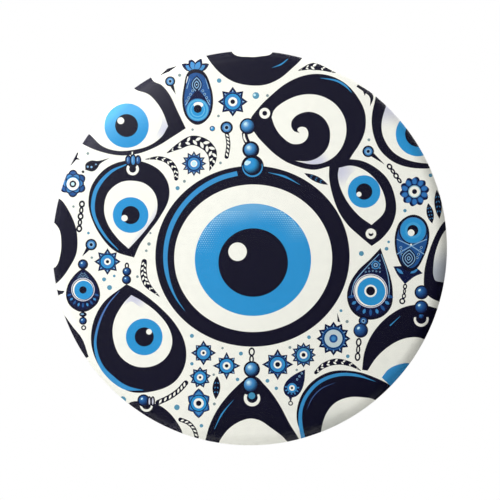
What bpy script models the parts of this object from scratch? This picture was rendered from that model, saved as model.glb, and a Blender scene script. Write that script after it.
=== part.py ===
"""A 58 mm domed button badge with a brooch pin, as separate parts.

The badge stands upright as it is worn: +Z up, the printed face towards -Y and the pin towards +Y.
The origin is the centre of the flat land in the middle of the back plate. Turned parts are drawn
about their own Z axis, with their front upwards, and then laid over so that +Z points to -Y.
"""

import math

import bmesh
import bpy

MM = 0.001

# Driving dimensions, in millimetres.
BADGE_R = 29.0  # over the film, at the rim
FACE_DEPTH = 5.2  # top of the dome in front of the back plate's land
RIM_DEPTH = 1.7  # rim behind the back plate's land
DOME_R = 120.0
EDGE_R = 2.6  # roll from the dome to the skirt
CURL_R = 1.1  # roll from the skirt to the rim's land
TUCK_CURL_R = 0.8  # roll from the rim's land to the folded-in edge
TUCK_R = 26.2  # inner wall of the folded-in edge
TUCK_END = -0.2  # height at which the folded-in edge ends

# Each layer of the face: (name, depth of its outer side, depth of its inner side) under the outside.
LAYERS = (("clear_film", 0.0, 0.08), ("printed_paper", 0.10, 0.22), ("front_shell", 0.24, 0.52))

PLATE_T = 0.28
LAND_R = 5.0
LAND_RISE = 0.3  # the land stands this far behind the plate's floor
FLOOR_R = 21.5
SHOULDER_RISE = 1.6  # from the floor back to the shoulder beside the rim
SHOULDER_SLOPE = 2.6  # how far out the wall from floor to shoulder leans
SHOULDER_TURN = 0.6
COLLAR_WALL_R = 25.9
FLARE_R = 27.5
FLARE_TURN = 0.5

PIN_Z = 9.0  # height of the brooch pin above the badge's centre
PIN_DEPTH = 2.7  # stem, hinge and catch axes behind the land
BASE_LENGTH = 33.0
BASE_WIDTH = 4.4
BASE_T = 0.5
BASE_CORNER = 0.8
LAY_GAP = 0.05  # between parts that lie on each other

HINGE_X = -14.0
EAR_T = 0.5
EAR_R = 1.4
EAR_FOOT = 3.4
EAR_LAP = 0.02  # ears stand this far inside the strip's long edges
EAR_BORE_R = 0.66
HINGE_SHANK_R = 0.6
HINGE_HEAD_R = 1.1
HINGE_HEAD_T = 0.45
KNUCKLE_R = 1.15
KNUCKLE_BORE_R = 0.68
KNUCKLE_LENGTH = 3.0
STEM_R = 0.4
TIP_X = 16.0
TIP_LENGTH = 4.5  # over which the stem is ground to a point

CATCH_X = 13.8
CHEEK_GAP = 2.4
CHEEK_T = 0.5
CHEEK_R = 2.1
CHEEK_FOOT = 4.3
CHEEK_BORE_R = 1.34
CHEEK_SLOT = 1.5
COLLAR_WIDTH = 2.0
COLLAR_R = 2.2
COLLAR_CHAMFER = 0.2
HUB_R = 1.25
HUB_OVERHANG = 0.3  # how far each hub stands out of its cheek
ROLLER_HOLE_R = 0.65
TAB_REACH = 3.4
TAB_WIDTH = 1.6
TAB_T = 0.9

RIVET_X = 7.5
RIVET_SHANK_R = 0.8
RIVET_HOLE_R = 0.92
RIVET_HEAD_R = 1.5
RIVET_HEAD_T = 0.5
UPSET_R = 1.3
UPSET_T = 0.4

DISC_STEPS = 48
SMALL_STEPS = 24

FLOOR_Y = -LAND_RISE
BASE_Y = FLOOR_Y + LAY_GAP
BASE_TOP_Y = BASE_Y + BASE_T


# Materials.


def material(name, colour, roughness, metallic, alpha=1.0):
    made = bpy.data.materials.new(name)
    made.use_nodes = True
    made.diffuse_color = (*colour, alpha)
    shader = made.node_tree.nodes["Principled BSDF"]
    shader.inputs["Base Color"].default_value = (*colour, 1.0)
    shader.inputs["Roughness"].default_value = roughness
    shader.inputs["Metallic"].default_value = metallic
    shader.inputs["Alpha"].default_value = alpha
    return made


def make_materials():
    return (
        material("film", (0.95, 0.96, 0.97), 0.08, 0.0, alpha=0.15),
        material("print", (0.88, 0.88, 0.83), 0.55, 0.0),
        material("tinplate", (0.72, 0.72, 0.71), 0.28, 1.0),
        material("nickel", (0.78, 0.76, 0.72), 0.2, 1.0),
    )


# Outlines, as lists of (across, up) points.


def arc(centre, radius, start, end, steps):
    """Points round a centre; angles are in degrees from straight up, turning outwards."""
    turns = [math.radians(start + (end - start) * i / steps) for i in range(steps + 1)]
    return [(centre[0] + radius * math.sin(a), centre[1] + radius * math.cos(a)) for a in turns]


def layer_side(depth):
    """One side of a layer, from the middle of the dome round the rim to the folded-in end."""
    dome_centre = (0.0, FACE_DEPTH - DOME_R)
    edge_across = BADGE_R - EDGE_R
    meet = math.degrees(math.asin(edge_across / (DOME_R - EDGE_R)))
    edge_up = dome_centre[1] + (DOME_R - EDGE_R) * math.cos(math.radians(meet))
    return (
        arc(dome_centre, DOME_R - depth, 0.0, meet, 4)
        + arc((edge_across, edge_up), EDGE_R - depth, meet, 90.0, 4)[1:]
        + arc((BADGE_R - CURL_R, CURL_R - RIM_DEPTH), CURL_R - depth, 90.0, 180.0, 2)
        + arc((TUCK_R + TUCK_CURL_R, TUCK_CURL_R - RIM_DEPTH), TUCK_CURL_R - depth, 180.0, 270.0, 2)
        + [(TUCK_R + depth, TUCK_END)]
    )


def plate_outline():
    """The back plate's rear side, from its flared edge down the collar and in to the land."""
    shoulder = LAND_RISE - SHOULDER_RISE
    return (
        [(FLARE_R, FLARE_TURN)]
        + arc((COLLAR_WALL_R + FLARE_TURN, 0.0), FLARE_TURN, 360.0, 270.0, 3)
        + arc((COLLAR_WALL_R - SHOULDER_TURN, shoulder + SHOULDER_TURN), SHOULDER_TURN, 90.0, 180.0, 2)
        + [(FLOOR_R + SHOULDER_SLOPE, shoulder), (FLOOR_R, LAND_RISE)]
        + [(LAND_R + LAND_RISE, LAND_RISE), (LAND_R, 0.0), (0.0, 0.0)]
    )


def rounded_plate(length, width, corner):
    """A plate along X with rounded corners."""
    points = []
    for turn, x_side, y_side in ((0, 1, 1), (90, 1, -1), (180, -1, -1), (270, -1, 1)):
        centre = (x_side * (length / 2 - corner), y_side * (width / 2 - corner))
        points += arc(centre, corner, turn, turn + 90.0, 3)
    return points


def arched_plate(foot_width, foot, top_r):
    """A plate standing on a foot line, with a half-round top about (0, 0)."""
    return [(foot_width / 2, foot)] + arc((0.0, 0.0), top_r, 90.0, -90.0, 8) + [(-foot_width / 2, foot)]


def keyhole(radius, slot, reach, steps):
    """A round hole about (0, 0) with a straight slot that runs up out of it."""
    open_at = math.degrees(math.asin(slot / 2 / radius)) if slot < 2 * radius else 90.0
    return arc((0.0, 0.0), radius, open_at, 360.0 - open_at, steps) + [(-slot / 2, reach), (slot / 2, reach)]


# Solids.


def link(name, mesh, finish=None):
    made = bpy.data.objects.new(name, mesh)
    bpy.context.scene.collection.objects.link(made)
    if finish:
        mesh.materials.append(finish)
    return made


def turned(name, outline, finish=None, steps=SMALL_STEPS):
    """A part turned about Z from an outline that runs down its outer side."""
    mesh = bpy.data.meshes.new(name)
    points = [(across * MM, 0.0, up * MM) for across, up in outline]
    mesh.from_pydata(points, [(i, i + 1) for i in range(len(points) - 1)], [])
    made = link(name, mesh, finish)
    screw = made.modifiers.new("turn", "SCREW")
    screw.steps = screw.render_steps = steps
    screw.use_merge_vertices = True
    screw.merge_threshold = 0.00001
    screw.use_smooth_shade = True
    return made


def prism(name, outline, thickness, finish=None):
    """A flat plate of an outline in XY, centred on its own thickness along Z."""
    shape = bmesh.new()
    face = shape.faces.new([shape.verts.new((x * MM, y * MM, -thickness * MM / 2)) for x, y in outline])
    grown = bmesh.ops.extrude_face_region(shape, geom=[face])
    top = [item for item in grown["geom"] if isinstance(item, bmesh.types.BMVert)]
    bmesh.ops.translate(shape, verts=top, vec=(0.0, 0.0, thickness * MM))
    bmesh.ops.recalc_face_normals(shape, faces=shape.faces)
    mesh = bpy.data.meshes.new(name)
    shape.to_mesh(mesh)
    shape.free()
    mesh.shade_smooth()
    mesh.set_sharp_from_angle(angle=math.radians(35))
    return link(name, mesh, finish)


def place(made, x=0.0, y=0.0, z=0.0, turn=(0.0, 0.0, 0.0)):
    made.location = (x * MM, y * MM, z * MM)
    made.rotation_euler = [math.radians(a) for a in turn]
    return made


def helper(made):
    made.hide_render = True
    made.display_type = "WIRE"
    return made


def combine(made, other, operation):
    step = made.modifiers.new(operation.lower(), "BOOLEAN")
    step.operation = operation
    step.solver = "EXACT"
    step.object = helper(other)
    return made


def cylinder_outline(radius, length):
    return [(0.0, length / 2), (radius, length / 2), (radius, -length / 2), (0.0, -length / 2)]


# Parts. These turns lay a part's own +Z to -Y, to +X, and its +Y to +Y or to -Z with Z across X.

FACING = (90.0, 0.0, 0.0)
ALONG_X = (0.0, 90.0, 0.0)
CROSSWISE = (0.0, -90.0, 0.0)
CROSSWISE_DOWN = (-90.0, 0.0, 90.0)


def make_layer(name, outer, inner, finish):
    outline = layer_side(outer) + layer_side(inner)[::-1]
    return place(turned(name, outline, finish, DISC_STEPS), turn=FACING)


def drill_for_rivets(made, name):
    for side, x in (("left", -RIVET_X), ("right", RIVET_X)):
        drill = turned(f"{name}_{side}", cylinder_outline(RIVET_HOLE_R, 3.0))
        combine(made, place(drill, x, FLOOR_Y, PIN_Z, FACING), "DIFFERENCE")
    return made


def make_back_plate(finish):
    plate = place(turned("back_plate", plate_outline(), finish, DISC_STEPS), turn=FACING)
    wall = plate.modifiers.new("wall", "SOLIDIFY")
    wall.thickness = PLATE_T * MM
    wall.offset = -1.0
    wall.use_even_offset = True
    return drill_for_rivets(plate, "plate_drill")


def make_pin_base(finish):
    """The strip with its hinge ears and catch cheeks, cut for the rivets, the hinge and the roller."""
    strip = prism("pin_base", rounded_plate(BASE_LENGTH, BASE_WIDTH, BASE_CORNER), BASE_T, finish)
    place(strip, 0.0, BASE_Y + BASE_T / 2, PIN_Z, FACING)
    foot = BASE_Y + BASE_T / 2 - PIN_DEPTH
    for side, sign in (("upper", 1), ("lower", -1)):
        ear = prism("ear_" + side, arched_plate(EAR_FOOT, foot, EAR_R), EAR_T)
        place(ear, HINGE_X, PIN_DEPTH, PIN_Z + sign * (BASE_WIDTH / 2 - EAR_LAP - EAR_T / 2))
        combine(strip, ear, "UNION")
    for side, sign in (("inner", -1), ("outer", 1)):
        cheek = prism("cheek_" + side, arched_plate(CHEEK_FOOT, foot, CHEEK_R), CHEEK_T)
        place(cheek, CATCH_X + sign * (CHEEK_GAP + CHEEK_T) / 2, PIN_DEPTH, PIN_Z, CROSSWISE)
        combine(strip, cheek, "UNION")
    bore = turned("ear_bore", cylinder_outline(EAR_BORE_R, 2 * BASE_WIDTH))
    combine(strip, place(bore, HINGE_X, PIN_DEPTH, PIN_Z), "DIFFERENCE")
    seat = prism("roller_seat", keyhole(CHEEK_BORE_R, CHEEK_SLOT, 2 * CHEEK_R, 20), 3 * CHEEK_GAP)
    combine(strip, place(seat, CATCH_X, PIN_DEPTH, PIN_Z, CROSSWISE), "DIFFERENCE")
    return drill_for_rivets(strip, "base_drill")


def make_rivet(name, x, finish):
    """An upset head inside the badge, a shank through plate and base, and a domed head behind them."""
    inside = PLATE_T + LAND_RISE + 2 * LAY_GAP
    behind = -(BASE_TOP_Y + LAY_GAP)
    dome_r = (RIVET_HEAD_R**2 + RIVET_HEAD_T**2) / (2 * RIVET_HEAD_T)
    spread = math.degrees(math.asin(RIVET_HEAD_R / dome_r))
    outline = (
        [(0.0, inside + UPSET_T), (UPSET_R - UPSET_T / 2, inside + UPSET_T)]
        + [(UPSET_R, inside + UPSET_T / 2), (UPSET_R, inside)]
        + [(RIVET_SHANK_R, inside), (RIVET_SHANK_R, behind)]
        + arc((0.0, behind - RIVET_HEAD_T + dome_r), dome_r, 180.0 - spread, 180.0, 3)
    )
    return place(turned(name, outline, finish), x, 0.0, PIN_Z, FACING)


def make_hinge_rivet(finish):
    """A pin along Z whose two rounded heads stand just clear of the ears."""
    seat = BASE_WIDTH / 2 + LAY_GAP
    top = seat + HINGE_HEAD_T
    upper = [(0.0, top), (HINGE_HEAD_R * 0.65, top - 0.05), (HINGE_HEAD_R, seat + HINGE_HEAD_T / 2)]
    upper += [(HINGE_HEAD_R, seat), (HINGE_SHANK_R, seat)]
    outline = upper + [(across, -up) for across, up in upper[::-1]]
    return place(turned("hinge_rivet", outline, finish), HINGE_X, PIN_DEPTH, PIN_Z)


def make_pin_stem(finish):
    """The knuckle about the hinge and the sharpened wire along X; its origin is on the hinge's axis."""
    stem = turned("pin_stem", cylinder_outline(KNUCKLE_R, KNUCKLE_LENGTH), finish)
    place(stem, HINGE_X, PIN_DEPTH, PIN_Z)
    start = (KNUCKLE_BORE_R + KNUCKLE_R) / 2
    end = TIP_X - HINGE_X
    outline = [(0.0, end), (STEM_R * 0.2, end - TIP_LENGTH * 0.05), (STEM_R * 0.65, end - TIP_LENGTH * 0.5)]
    outline += [(STEM_R, end - TIP_LENGTH), (STEM_R, start), (0.0, start)]
    wire = turned("wire", outline, steps=12)
    combine(stem, place(wire, HINGE_X, PIN_DEPTH, PIN_Z, ALONG_X), "UNION")
    bore = turned("knuckle_bore", cylinder_outline(KNUCKLE_BORE_R, 2 * KNUCKLE_LENGTH))
    return combine(stem, place(bore, HINGE_X, PIN_DEPTH, PIN_Z), "DIFFERENCE")


def make_catch_roller(finish):
    """A spool on the catch's axis with a thumb tab that hangs down and a slot open to the rear."""
    collar = COLLAR_WIDTH / 2
    hub = CHEEK_GAP / 2 + CHEEK_T + HUB_OVERHANG
    upper = [(0.0, hub), (HUB_R, hub), (HUB_R, collar), (COLLAR_R - COLLAR_CHAMFER, collar)]
    upper += [(COLLAR_R, collar - COLLAR_CHAMFER)]
    outline = upper + [(across, -up) for across, up in upper[::-1]]
    roller = place(turned("catch_roller", outline, finish), CATCH_X, PIN_DEPTH, PIN_Z, ALONG_X)
    drop = TAB_REACH - TAB_WIDTH / 2
    tab = prism("thumb_tab", arched_plate(TAB_WIDTH, -drop, TAB_WIDTH / 2), TAB_T)
    combine(roller, place(tab, CATCH_X, PIN_DEPTH, PIN_Z - drop, CROSSWISE_DOWN), "UNION")
    slot = prism("stem_slot", keyhole(ROLLER_HOLE_R, 2 * ROLLER_HOLE_R, 2 * COLLAR_R, 12), 4 * hub)
    return combine(roller, place(slot, CATCH_X, PIN_DEPTH, PIN_Z, CROSSWISE), "DIFFERENCE")


def main():
    for old in list(bpy.data.objects):
        bpy.data.objects.remove(old)
    film, print_ink, tinplate, nickel = make_materials()
    for (name, outer, inner), finish in zip(LAYERS, (film, print_ink, tinplate)):
        make_layer(name, outer, inner, finish)
    make_back_plate(tinplate)
    make_pin_base(nickel)
    make_rivet("rivet_left", -RIVET_X, nickel)
    make_rivet("rivet_right", RIVET_X, nickel)
    make_hinge_rivet(nickel)
    make_pin_stem(nickel)
    make_catch_roller(nickel)


main()
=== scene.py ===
"""The looks of the evil eye button badge: printed paper under clear film, steel shells and a brooch pin.

Lengths are in millimetres and become metres where a mesh is made. The artwork is laid out as the badge
is seen from the front: x to the right and z up, from its centre.
"""

import math

import bpy
import numpy as np
from mathutils import Matrix, Vector
from mathutils.geometry import delaunay_2d_cdt


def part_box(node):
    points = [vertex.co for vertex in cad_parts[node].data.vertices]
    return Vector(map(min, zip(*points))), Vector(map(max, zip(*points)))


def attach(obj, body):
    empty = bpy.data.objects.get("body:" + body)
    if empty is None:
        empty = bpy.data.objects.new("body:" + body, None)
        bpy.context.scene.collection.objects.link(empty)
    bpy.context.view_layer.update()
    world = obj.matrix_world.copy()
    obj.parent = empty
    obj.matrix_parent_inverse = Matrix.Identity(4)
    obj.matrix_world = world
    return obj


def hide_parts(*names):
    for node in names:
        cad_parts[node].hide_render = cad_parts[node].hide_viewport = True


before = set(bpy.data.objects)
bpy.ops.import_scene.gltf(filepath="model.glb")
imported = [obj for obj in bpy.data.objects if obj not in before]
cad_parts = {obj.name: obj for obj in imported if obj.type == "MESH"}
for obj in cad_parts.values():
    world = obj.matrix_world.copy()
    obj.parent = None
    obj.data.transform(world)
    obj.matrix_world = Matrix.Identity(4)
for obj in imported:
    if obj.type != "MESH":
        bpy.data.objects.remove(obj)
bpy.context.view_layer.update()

MM = 0.001


def millimetres(value):
    """A length read from the frame, cleared of the rounding of its 32-bit number."""
    return round(value / MM, 3)


# The face, from the frame's film and the bends of its section.
FILM_LOW, FILM_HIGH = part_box("clear_film")
BADGE_R = millimetres(FILM_HIGH.x)
FACE_DEPTH = millimetres(-FILM_LOW.y)
RIM_DEPTH = millimetres(FILM_HIGH.y)
DOME_R = 120.0
EDGE_R = 2.6
CURL_R = 1.1
TUCK_CURL_R = 0.8
TUCK_R = 26.2
TUCK_END = -0.2
FILM_T = 0.08
PAPER_DEPTH = 0.10
PAPER_T = 0.12
SHELL_DEPTH = 0.24
SHELL_T = 0.28
ROUND_STEPS = 256
PAPER_STEPS = 160

EDGE_ACROSS = BADGE_R - EDGE_R
MEET = math.asin(EDGE_ACROSS / (DOME_R - EDGE_R))
QUARTER = math.pi / 2


def face_stretches():
    """The face's section from its middle to its folded-in end, as (length, bend radius) pairs."""
    equator = FACE_DEPTH - DOME_R + (DOME_R - EDGE_R) * math.cos(MEET)
    return (
        (DOME_R * MEET, DOME_R),
        (EDGE_R * (QUARTER - MEET), EDGE_R),
        (equator + RIM_DEPTH - CURL_R, math.inf),
        (CURL_R * QUARTER, CURL_R),
        (BADGE_R - CURL_R - TUCK_R - TUCK_CURL_R, math.inf),
        (TUCK_CURL_R * QUARTER, TUCK_CURL_R),
        (TUCK_END + RIM_DEPTH - TUCK_CURL_R, math.inf),
    )


STRETCHES = face_stretches()
PRINT_END = sum(length for length, _ in STRETCHES)
PRINT_MARGIN = 0.05


def section(along):
    """The face's outside at a distance along its section: (across, up, lean of its normal)."""
    left = np.asarray(along, float)
    across = np.zeros_like(left)
    up = np.full_like(left, FACE_DEPTH)
    lean = np.zeros_like(left)
    for length, radius in STRETCHES:
        run = np.clip(left, 0.0, length)
        if math.isinf(radius):
            across = across + run * np.cos(lean)
            up = up - run * np.sin(lean)
        else:
            turned = lean + run / radius
            across = across + radius * (np.sin(turned) - np.sin(lean))
            up = up + radius * (np.cos(turned) - np.cos(lean))
            lean = turned
        left = left - run
    return across, up, lean


def laid_on_face(flat, depth):
    """Flat print points laid on the face, at a depth under its outside: (points, outward normals)."""
    along = np.hypot(flat[:, 0], flat[:, 1])
    across, up, lean = section(along)
    way = flat / np.maximum(along, 1e-9)[:, None]
    reach = across - depth * np.sin(lean)
    points = np.stack([way[:, 0] * reach, depth * np.cos(lean) - up, way[:, 1] * reach], 1)
    normals = np.stack([way[:, 0] * np.sin(lean), -np.cos(lean), way[:, 1] * np.sin(lean)], 1)
    return points, normals


# The artwork's x and z are as the camera sees them on an upright plane at ARTWORK_FROM. The face is
# nearer to the camera than that plane, and the top of its dome is nearest, so it looks a little larger.
VIEW_FROM = 203.3
ARTWORK_FROM = 203.75
FRONT_END = STRETCHES[0][0] + STRETCHES[1][0]
FRONT_SAMPLES = 2000
FRONT_ALONG = np.linspace(0.0, FRONT_END, FRONT_SAMPLES)
FRONT_ACROSS, FRONT_UP, _ = section(FRONT_ALONG)
PERSPECTIVE_ROUNDS = 2


def flat_place(seen):
    """Artwork points as seen from the front, moved to where they lie on the flat paper."""
    seen = np.asarray(seen, float)
    looks = np.hypot(seen[:, 0], seen[:, 1])
    radius = looks
    for _ in range(PERSPECTIVE_ROUNDS):
        radius = looks * (VIEW_FROM - np.interp(radius, FRONT_ACROSS, FRONT_UP)) / ARTWORK_FROM
    along = np.interp(radius, FRONT_ACROSS, FRONT_ALONG) + np.maximum(radius - BADGE_R, 0.0)
    along = np.minimum(along, PRINT_END - PRINT_MARGIN)
    return seen * (along / np.maximum(looks, 1e-9))[:, None]


def seen_place(flat):
    """Flat print points as seen from the front, the reverse of flat_place up to the widest ring."""
    along = np.hypot(flat[:, 0], flat[:, 1])
    across, up, _ = section(np.minimum(along, FRONT_END))
    radius = across + np.maximum(along - FRONT_END, 0.0)
    looks = radius * ARTWORK_FROM / (VIEW_FROM - up)
    return flat * (looks / np.maximum(along, 1e-9))[:, None]


# Inks. Colours are written as printed values from 0 to 255 and turned to linear light.


def ink(red, green, blue):
    """A printed colour in linear light, by the sRGB curve."""
    shares = np.array((red, green, blue), float) / 255
    return np.where(shares <= 0.04045, shares / 12.92, ((shares + 0.055) / 1.055) ** 2.4)


PAPER_WHITE = ink(250, 250, 240)
INK = ink(17, 16, 37)
NAVY = ink(16, 24, 62)
DENIM = ink(36, 84, 146)
IRIS = ink(46, 150, 212)
ARC_BLUE = ink(58, 146, 205)
CORNFLOWER = ink(66, 140, 200)
PERIWINKLE = ink(134, 178, 214)
ICE = ink(200, 238, 250)
LAVENDER = ink(212, 213, 228)
TEAL_DOT = ink(88, 150, 178)
GREY_DOT = ink(132, 152, 152)
CHARM_BLUE = ink(60, 128, 190)
SOFT_GLEAM = ink(62, 92, 148)


def blend(one, other, share):
    """Colour between two others; share may be an array, and is kept from 0 to 1."""
    share = np.clip(np.asarray(share, float), 0.0, 1.0)[..., None]
    return one * (1 - share) + other * share


def smoothstep(value):
    """Eases a share from 0 to 1 at both ends."""
    value = np.clip(value, 0.0, 1.0)
    return value * value * (3 - 2 * value)


# Outlines, as arrays of (x, z) points seen from the front.

CORNER = True
SPAN_STEPS = 7
POINT_GAP = 0.16
FEWEST_POINTS = 10
MOST_POINTS = 180
LEAST_HALF_WIDTH = 0.01
END_STEPS = 7
ROW_SHARE = 0.866  # the height of an even triangle's rows, as a share of its side
ARTWORK = []


def paint(outline, colour):
    """Lays one closed outline over the artwork. The colour is fixed, or a function of x and z."""
    ARTWORK.append((np.asarray(outline, float), colour))


def ellipse(x, z, across, high=None, tilt=0.0):
    """An ellipse about (x, z), or a circle when high isn't given."""
    high = across if high is None else high
    count = int(np.clip(2 * math.pi * max(across, high) / POINT_GAP, FEWEST_POINTS, MOST_POINTS))
    turn = np.linspace(0.0, 2 * math.pi, count, endpoint=False)
    return placed(np.stack([across * np.cos(turn), high * np.sin(turn)], 1), x, z, tilt)


def placed(points, x, z, tilt=0.0, size=1.0):
    """Points turned anticlockwise by tilt in degrees, scaled, and moved to (x, z)."""
    turn = math.radians(tilt)
    spin = np.array([[math.cos(turn), math.sin(turn)], [-math.sin(turn), math.cos(turn)]])
    return size * np.asarray(points, float) @ spin + np.array([x, z])


def shrunk(outline, share, x, z):
    """An outline drawn in towards (x, z)."""
    return placed(share * (outline - np.array([x, z])), x, z)


def tilt_of(way):
    """The turn in degrees that lays a shape drawn along z along a way."""
    return math.degrees(math.atan2(way[1], way[0])) - 90


def span(before, start, end, after):
    """A smooth run from start to end, with the slopes that its neighbours give it."""
    share = np.linspace(0.0, 1.0, SPAN_STEPS, endpoint=False)[:, None]
    length = np.linalg.norm(end - start)
    leave = (end - before) / max(np.linalg.norm(end - before), 1e-9) * length
    reach = (after - start) / max(np.linalg.norm(after - start), 1e-9) * length
    squared, cubed = share**2, share**3
    run = (2 * cubed - 3 * squared + 1) * start + (cubed - 2 * squared + share) * leave
    return run + (3 * squared - 2 * cubed) * end + (cubed - squared) * reach


def smooth(points, closed=True):
    """A curve through given points; a point marked CORNER stays sharp."""
    at = [np.array(p[:2], float) for p in points]
    sharp = [len(p) > 2 for p in points]
    count = len(at)
    runs = []
    for i in range(count if closed else count - 1):
        j = (i + 1) % count
        before = at[i] if sharp[i] or (not closed and i == 0) else at[i - 1]
        after = at[j] if sharp[j] or (not closed and j == count - 1) else at[(j + 1) % count]
        runs.append(span(before, at[i], at[j], after))
    if not closed:
        runs.append(at[-1][None, :])
    return np.concatenate(runs)


def stroke(points, widths, ends=(False, False)):
    """The outline of a line through points, whose width follows the widths given along it."""
    line = smooth(points, closed=False) if len(points) > 2 else np.array(points, float)
    ahead = np.gradient(line, axis=0)
    ahead /= np.maximum(np.linalg.norm(ahead, axis=1), 1e-9)[:, None]
    side = np.stack([-ahead[:, 1], ahead[:, 0]], 1)
    share = np.linspace(0.0, 1.0, len(line))
    half = np.interp(share, np.linspace(0.0, 1.0, len(widths)), widths)[:, None] / 2
    half = np.maximum(half, LEAST_HALF_WIDTH)
    first = round_end(line[0], -ahead[0], half[0, 0]) if ends[0] else line[:0]
    last = round_end(line[-1], ahead[-1], half[-1, 0]) if ends[1] else line[:0]
    return np.concatenate([line - side * half, last, (line + side * half)[::-1], first])


def round_end(point, ahead, half):
    """The half circle past a line's end."""
    turns = np.linspace(-QUARTER, QUARTER, END_STEPS)[1:-1]
    side = np.array([-ahead[1], ahead[0]])
    return np.array([point + half * (math.cos(a) * ahead + math.sin(a) * side) for a in turns])


def ellipse_line(x, z, across, high, start, end, steps=9):
    """Points along part of an ellipse, between two angles in degrees."""
    turns = np.radians(np.linspace(start, end, steps))
    return [(x + across * math.cos(a), z + high * math.sin(a)) for a in turns]


def star(points, outer, inner, every_other):
    """A pointed star about (0, 0) whose points reach outer and every_other by turns."""
    made = []
    for i in range(points):
        reach = every_other if i % 2 else outer
        for radius, turn in ((reach, i), (inner, i + 0.5)):
            angle = 2 * math.pi * turn / points + QUARTER
            made.append((radius * math.cos(angle), radius * math.sin(angle)))
    return np.array(made)


def lobed(lobes, middle, swing, steps=8):
    """A scalloped ring about (0, 0)."""
    turn = np.linspace(0.0, 2 * math.pi, lobes * steps, endpoint=False)
    radius = middle + swing * np.abs(np.cos(lobes * turn / 2))
    return np.stack([radius * np.cos(turn), radius * np.sin(turn)], 1)


def drop(width, length, sharpness=1.6):
    """A drop about (0, 0) with its round end at the bottom and its tip at the top."""
    turn = np.linspace(0.0, 2 * math.pi, 40, endpoint=False)
    rise = -np.cos(turn)
    pinch = ((1 - rise) / 2) ** (sharpness - 1)
    return np.stack([width / 2 * np.sin(turn) * pinch * 1.25, length / 2 * rise], 1)


def leaf(length, width):
    """A pointed leaf along z about (0, 0)."""
    rise = np.linspace(-1.0, 1.0, 13)
    half = width / 2 * (1 - rise**2)
    right = np.stack([half, rise * length / 2], 1)
    left = np.stack([-half, rise * length / 2], 1)[::-1][1:-1]
    return np.concatenate([right, left])


# Shades, as colour functions.


def fade(one, other, start, end):
    """Colour that turns from one to the other between two places."""
    way = np.array(end, float) - np.array(start, float)
    return lambda x, z: blend(
        one, other, smoothstep(((x - start[0]) * way[0] + (z - start[1]) * way[1]) / (way @ way))
    )


def glow(inside, outside, x0, z0, radius, hold=0.0):
    """Colour that turns from inside to outside with the distance from a place."""
    def colour(x, z):
        away = np.hypot(x - x0, z - z0) / radius
        return blend(inside, outside, smoothstep((away - hold) / (1 - hold)))
    return colour


# Motifs that repeat.


def dot(x, z, radius, colour):
    paint(ellipse(x, z, radius), colour)


def discs(x, z, *bands):
    """Discs about one centre, each (radius, colour), from the widest to the smallest."""
    for radius, colour in bands:
        dot(x, z, radius, colour)


def ring(x, z, outer, inner, colour, core):
    paint(ellipse(x, z, outer), colour)
    paint(ellipse(x, z, inner), core)


SMALL_BEAD = 0.4
SHADE_SHARES = (1.0, 0.85, 0.7, 0.55, 0.4, 0.25, 0.12)


def ball(x, z, radius, rim=0.2, light=ICE, body=CORNFLOWER, dark=NAVY):
    """A glossy bead: an ink outline, a shaded ball lit from the upper left, and a small highlight."""
    paint(ellipse(x, z, radius + rim), INK)
    lit = (x - 0.3 * radius, z + 0.3 * radius)

    def shade(at_x, at_z):
        away = np.hypot(at_x - lit[0], at_z - lit[1]) / radius
        return blend(blend(light, body, away / 0.55), dark, smoothstep((away - 0.55) / 0.85))

    for share in SHADE_SHARES:
        shift = 0.3 * radius * (1 - share)
        paint(ellipse(x - shift, z + shift, radius * share), shade)
    if radius > SMALL_BEAD:
        paint(ellipse(x - 0.36 * radius, z + 0.38 * radius, 0.26 * radius, 0.18 * radius, 40), ICE)


def eye_discs(x, z, iris, pupil, highlight=None, high=None, colour=IRIS):
    """A blue iris with its dark pupil and a white highlight given as (x, z, radius)."""
    high = iris if high is None else high
    paint(ellipse(x, z, iris, high), colour)
    paint(ellipse(x, z, pupil), INK)
    if highlight:
        paint(ellipse(*highlight), PAPER_WHITE)


def rosette(x, z, points, outer, inner, disc, white, pupil, every_other=None, core=IRIS):
    """A pointed star with a navy outline, petals, and an eye in its middle."""
    every_other = every_other or outer
    paint(placed(star(points, outer, inner, every_other), x, z), NAVY)
    paint(placed(star(points, outer * 0.72, inner * 0.9, every_other * 0.72), x, z), DENIM)
    reach = (outer + inner) / 2 * 0.84
    for i in range(points):
        angle = 2 * math.pi * i / points + QUARTER
        centre = (x + reach * math.cos(angle), z + reach * math.sin(angle))
        paint(placed(leaf(0.34 * (outer - disc), 0.17), *centre, math.degrees(angle) - 90), PERIWINKLE)
    ring(x, z, disc + 0.14, disc, NAVY, core)
    paint(ellipse(x, z, disc * 0.8), CORNFLOWER)
    ring(x, z, white, pupil, PAPER_WHITE, INK)


def chain(start, end, links, width, thick=0.1):
    """Oval links in a line, each an ink ring round bare paper."""
    start, end = np.array(start, float), np.array(end, float)
    way = end - start
    tilt = tilt_of(way)
    pitch = np.linalg.norm(way) / links
    for i in range(links):
        centre = start + way * (i + 0.5) / links
        narrow = 1.0 if i % 2 == 0 else 0.75
        paint(ellipse(*centre, width / 2 * narrow, pitch * 0.6, tilt), INK)
        paint(ellipse(*centre, width / 2 * narrow - thick, pitch * 0.6 - thick * 1.2, tilt), PAPER_WHITE)


def stations(points, shares):
    """The place and the way ahead, of length 1, at each of some shares of a line through points."""
    line = smooth(points, closed=False)
    ahead = np.gradient(line, axis=0)
    share = np.linspace(0.0, 1.0, len(line))
    for step in shares:
        at = np.array([np.interp(step, share, line[:, k]) for k in (0, 1)])
        way = np.array([np.interp(step, share, ahead[:, k]) for k in (0, 1)])
        yield at, way / np.linalg.norm(way)


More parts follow.
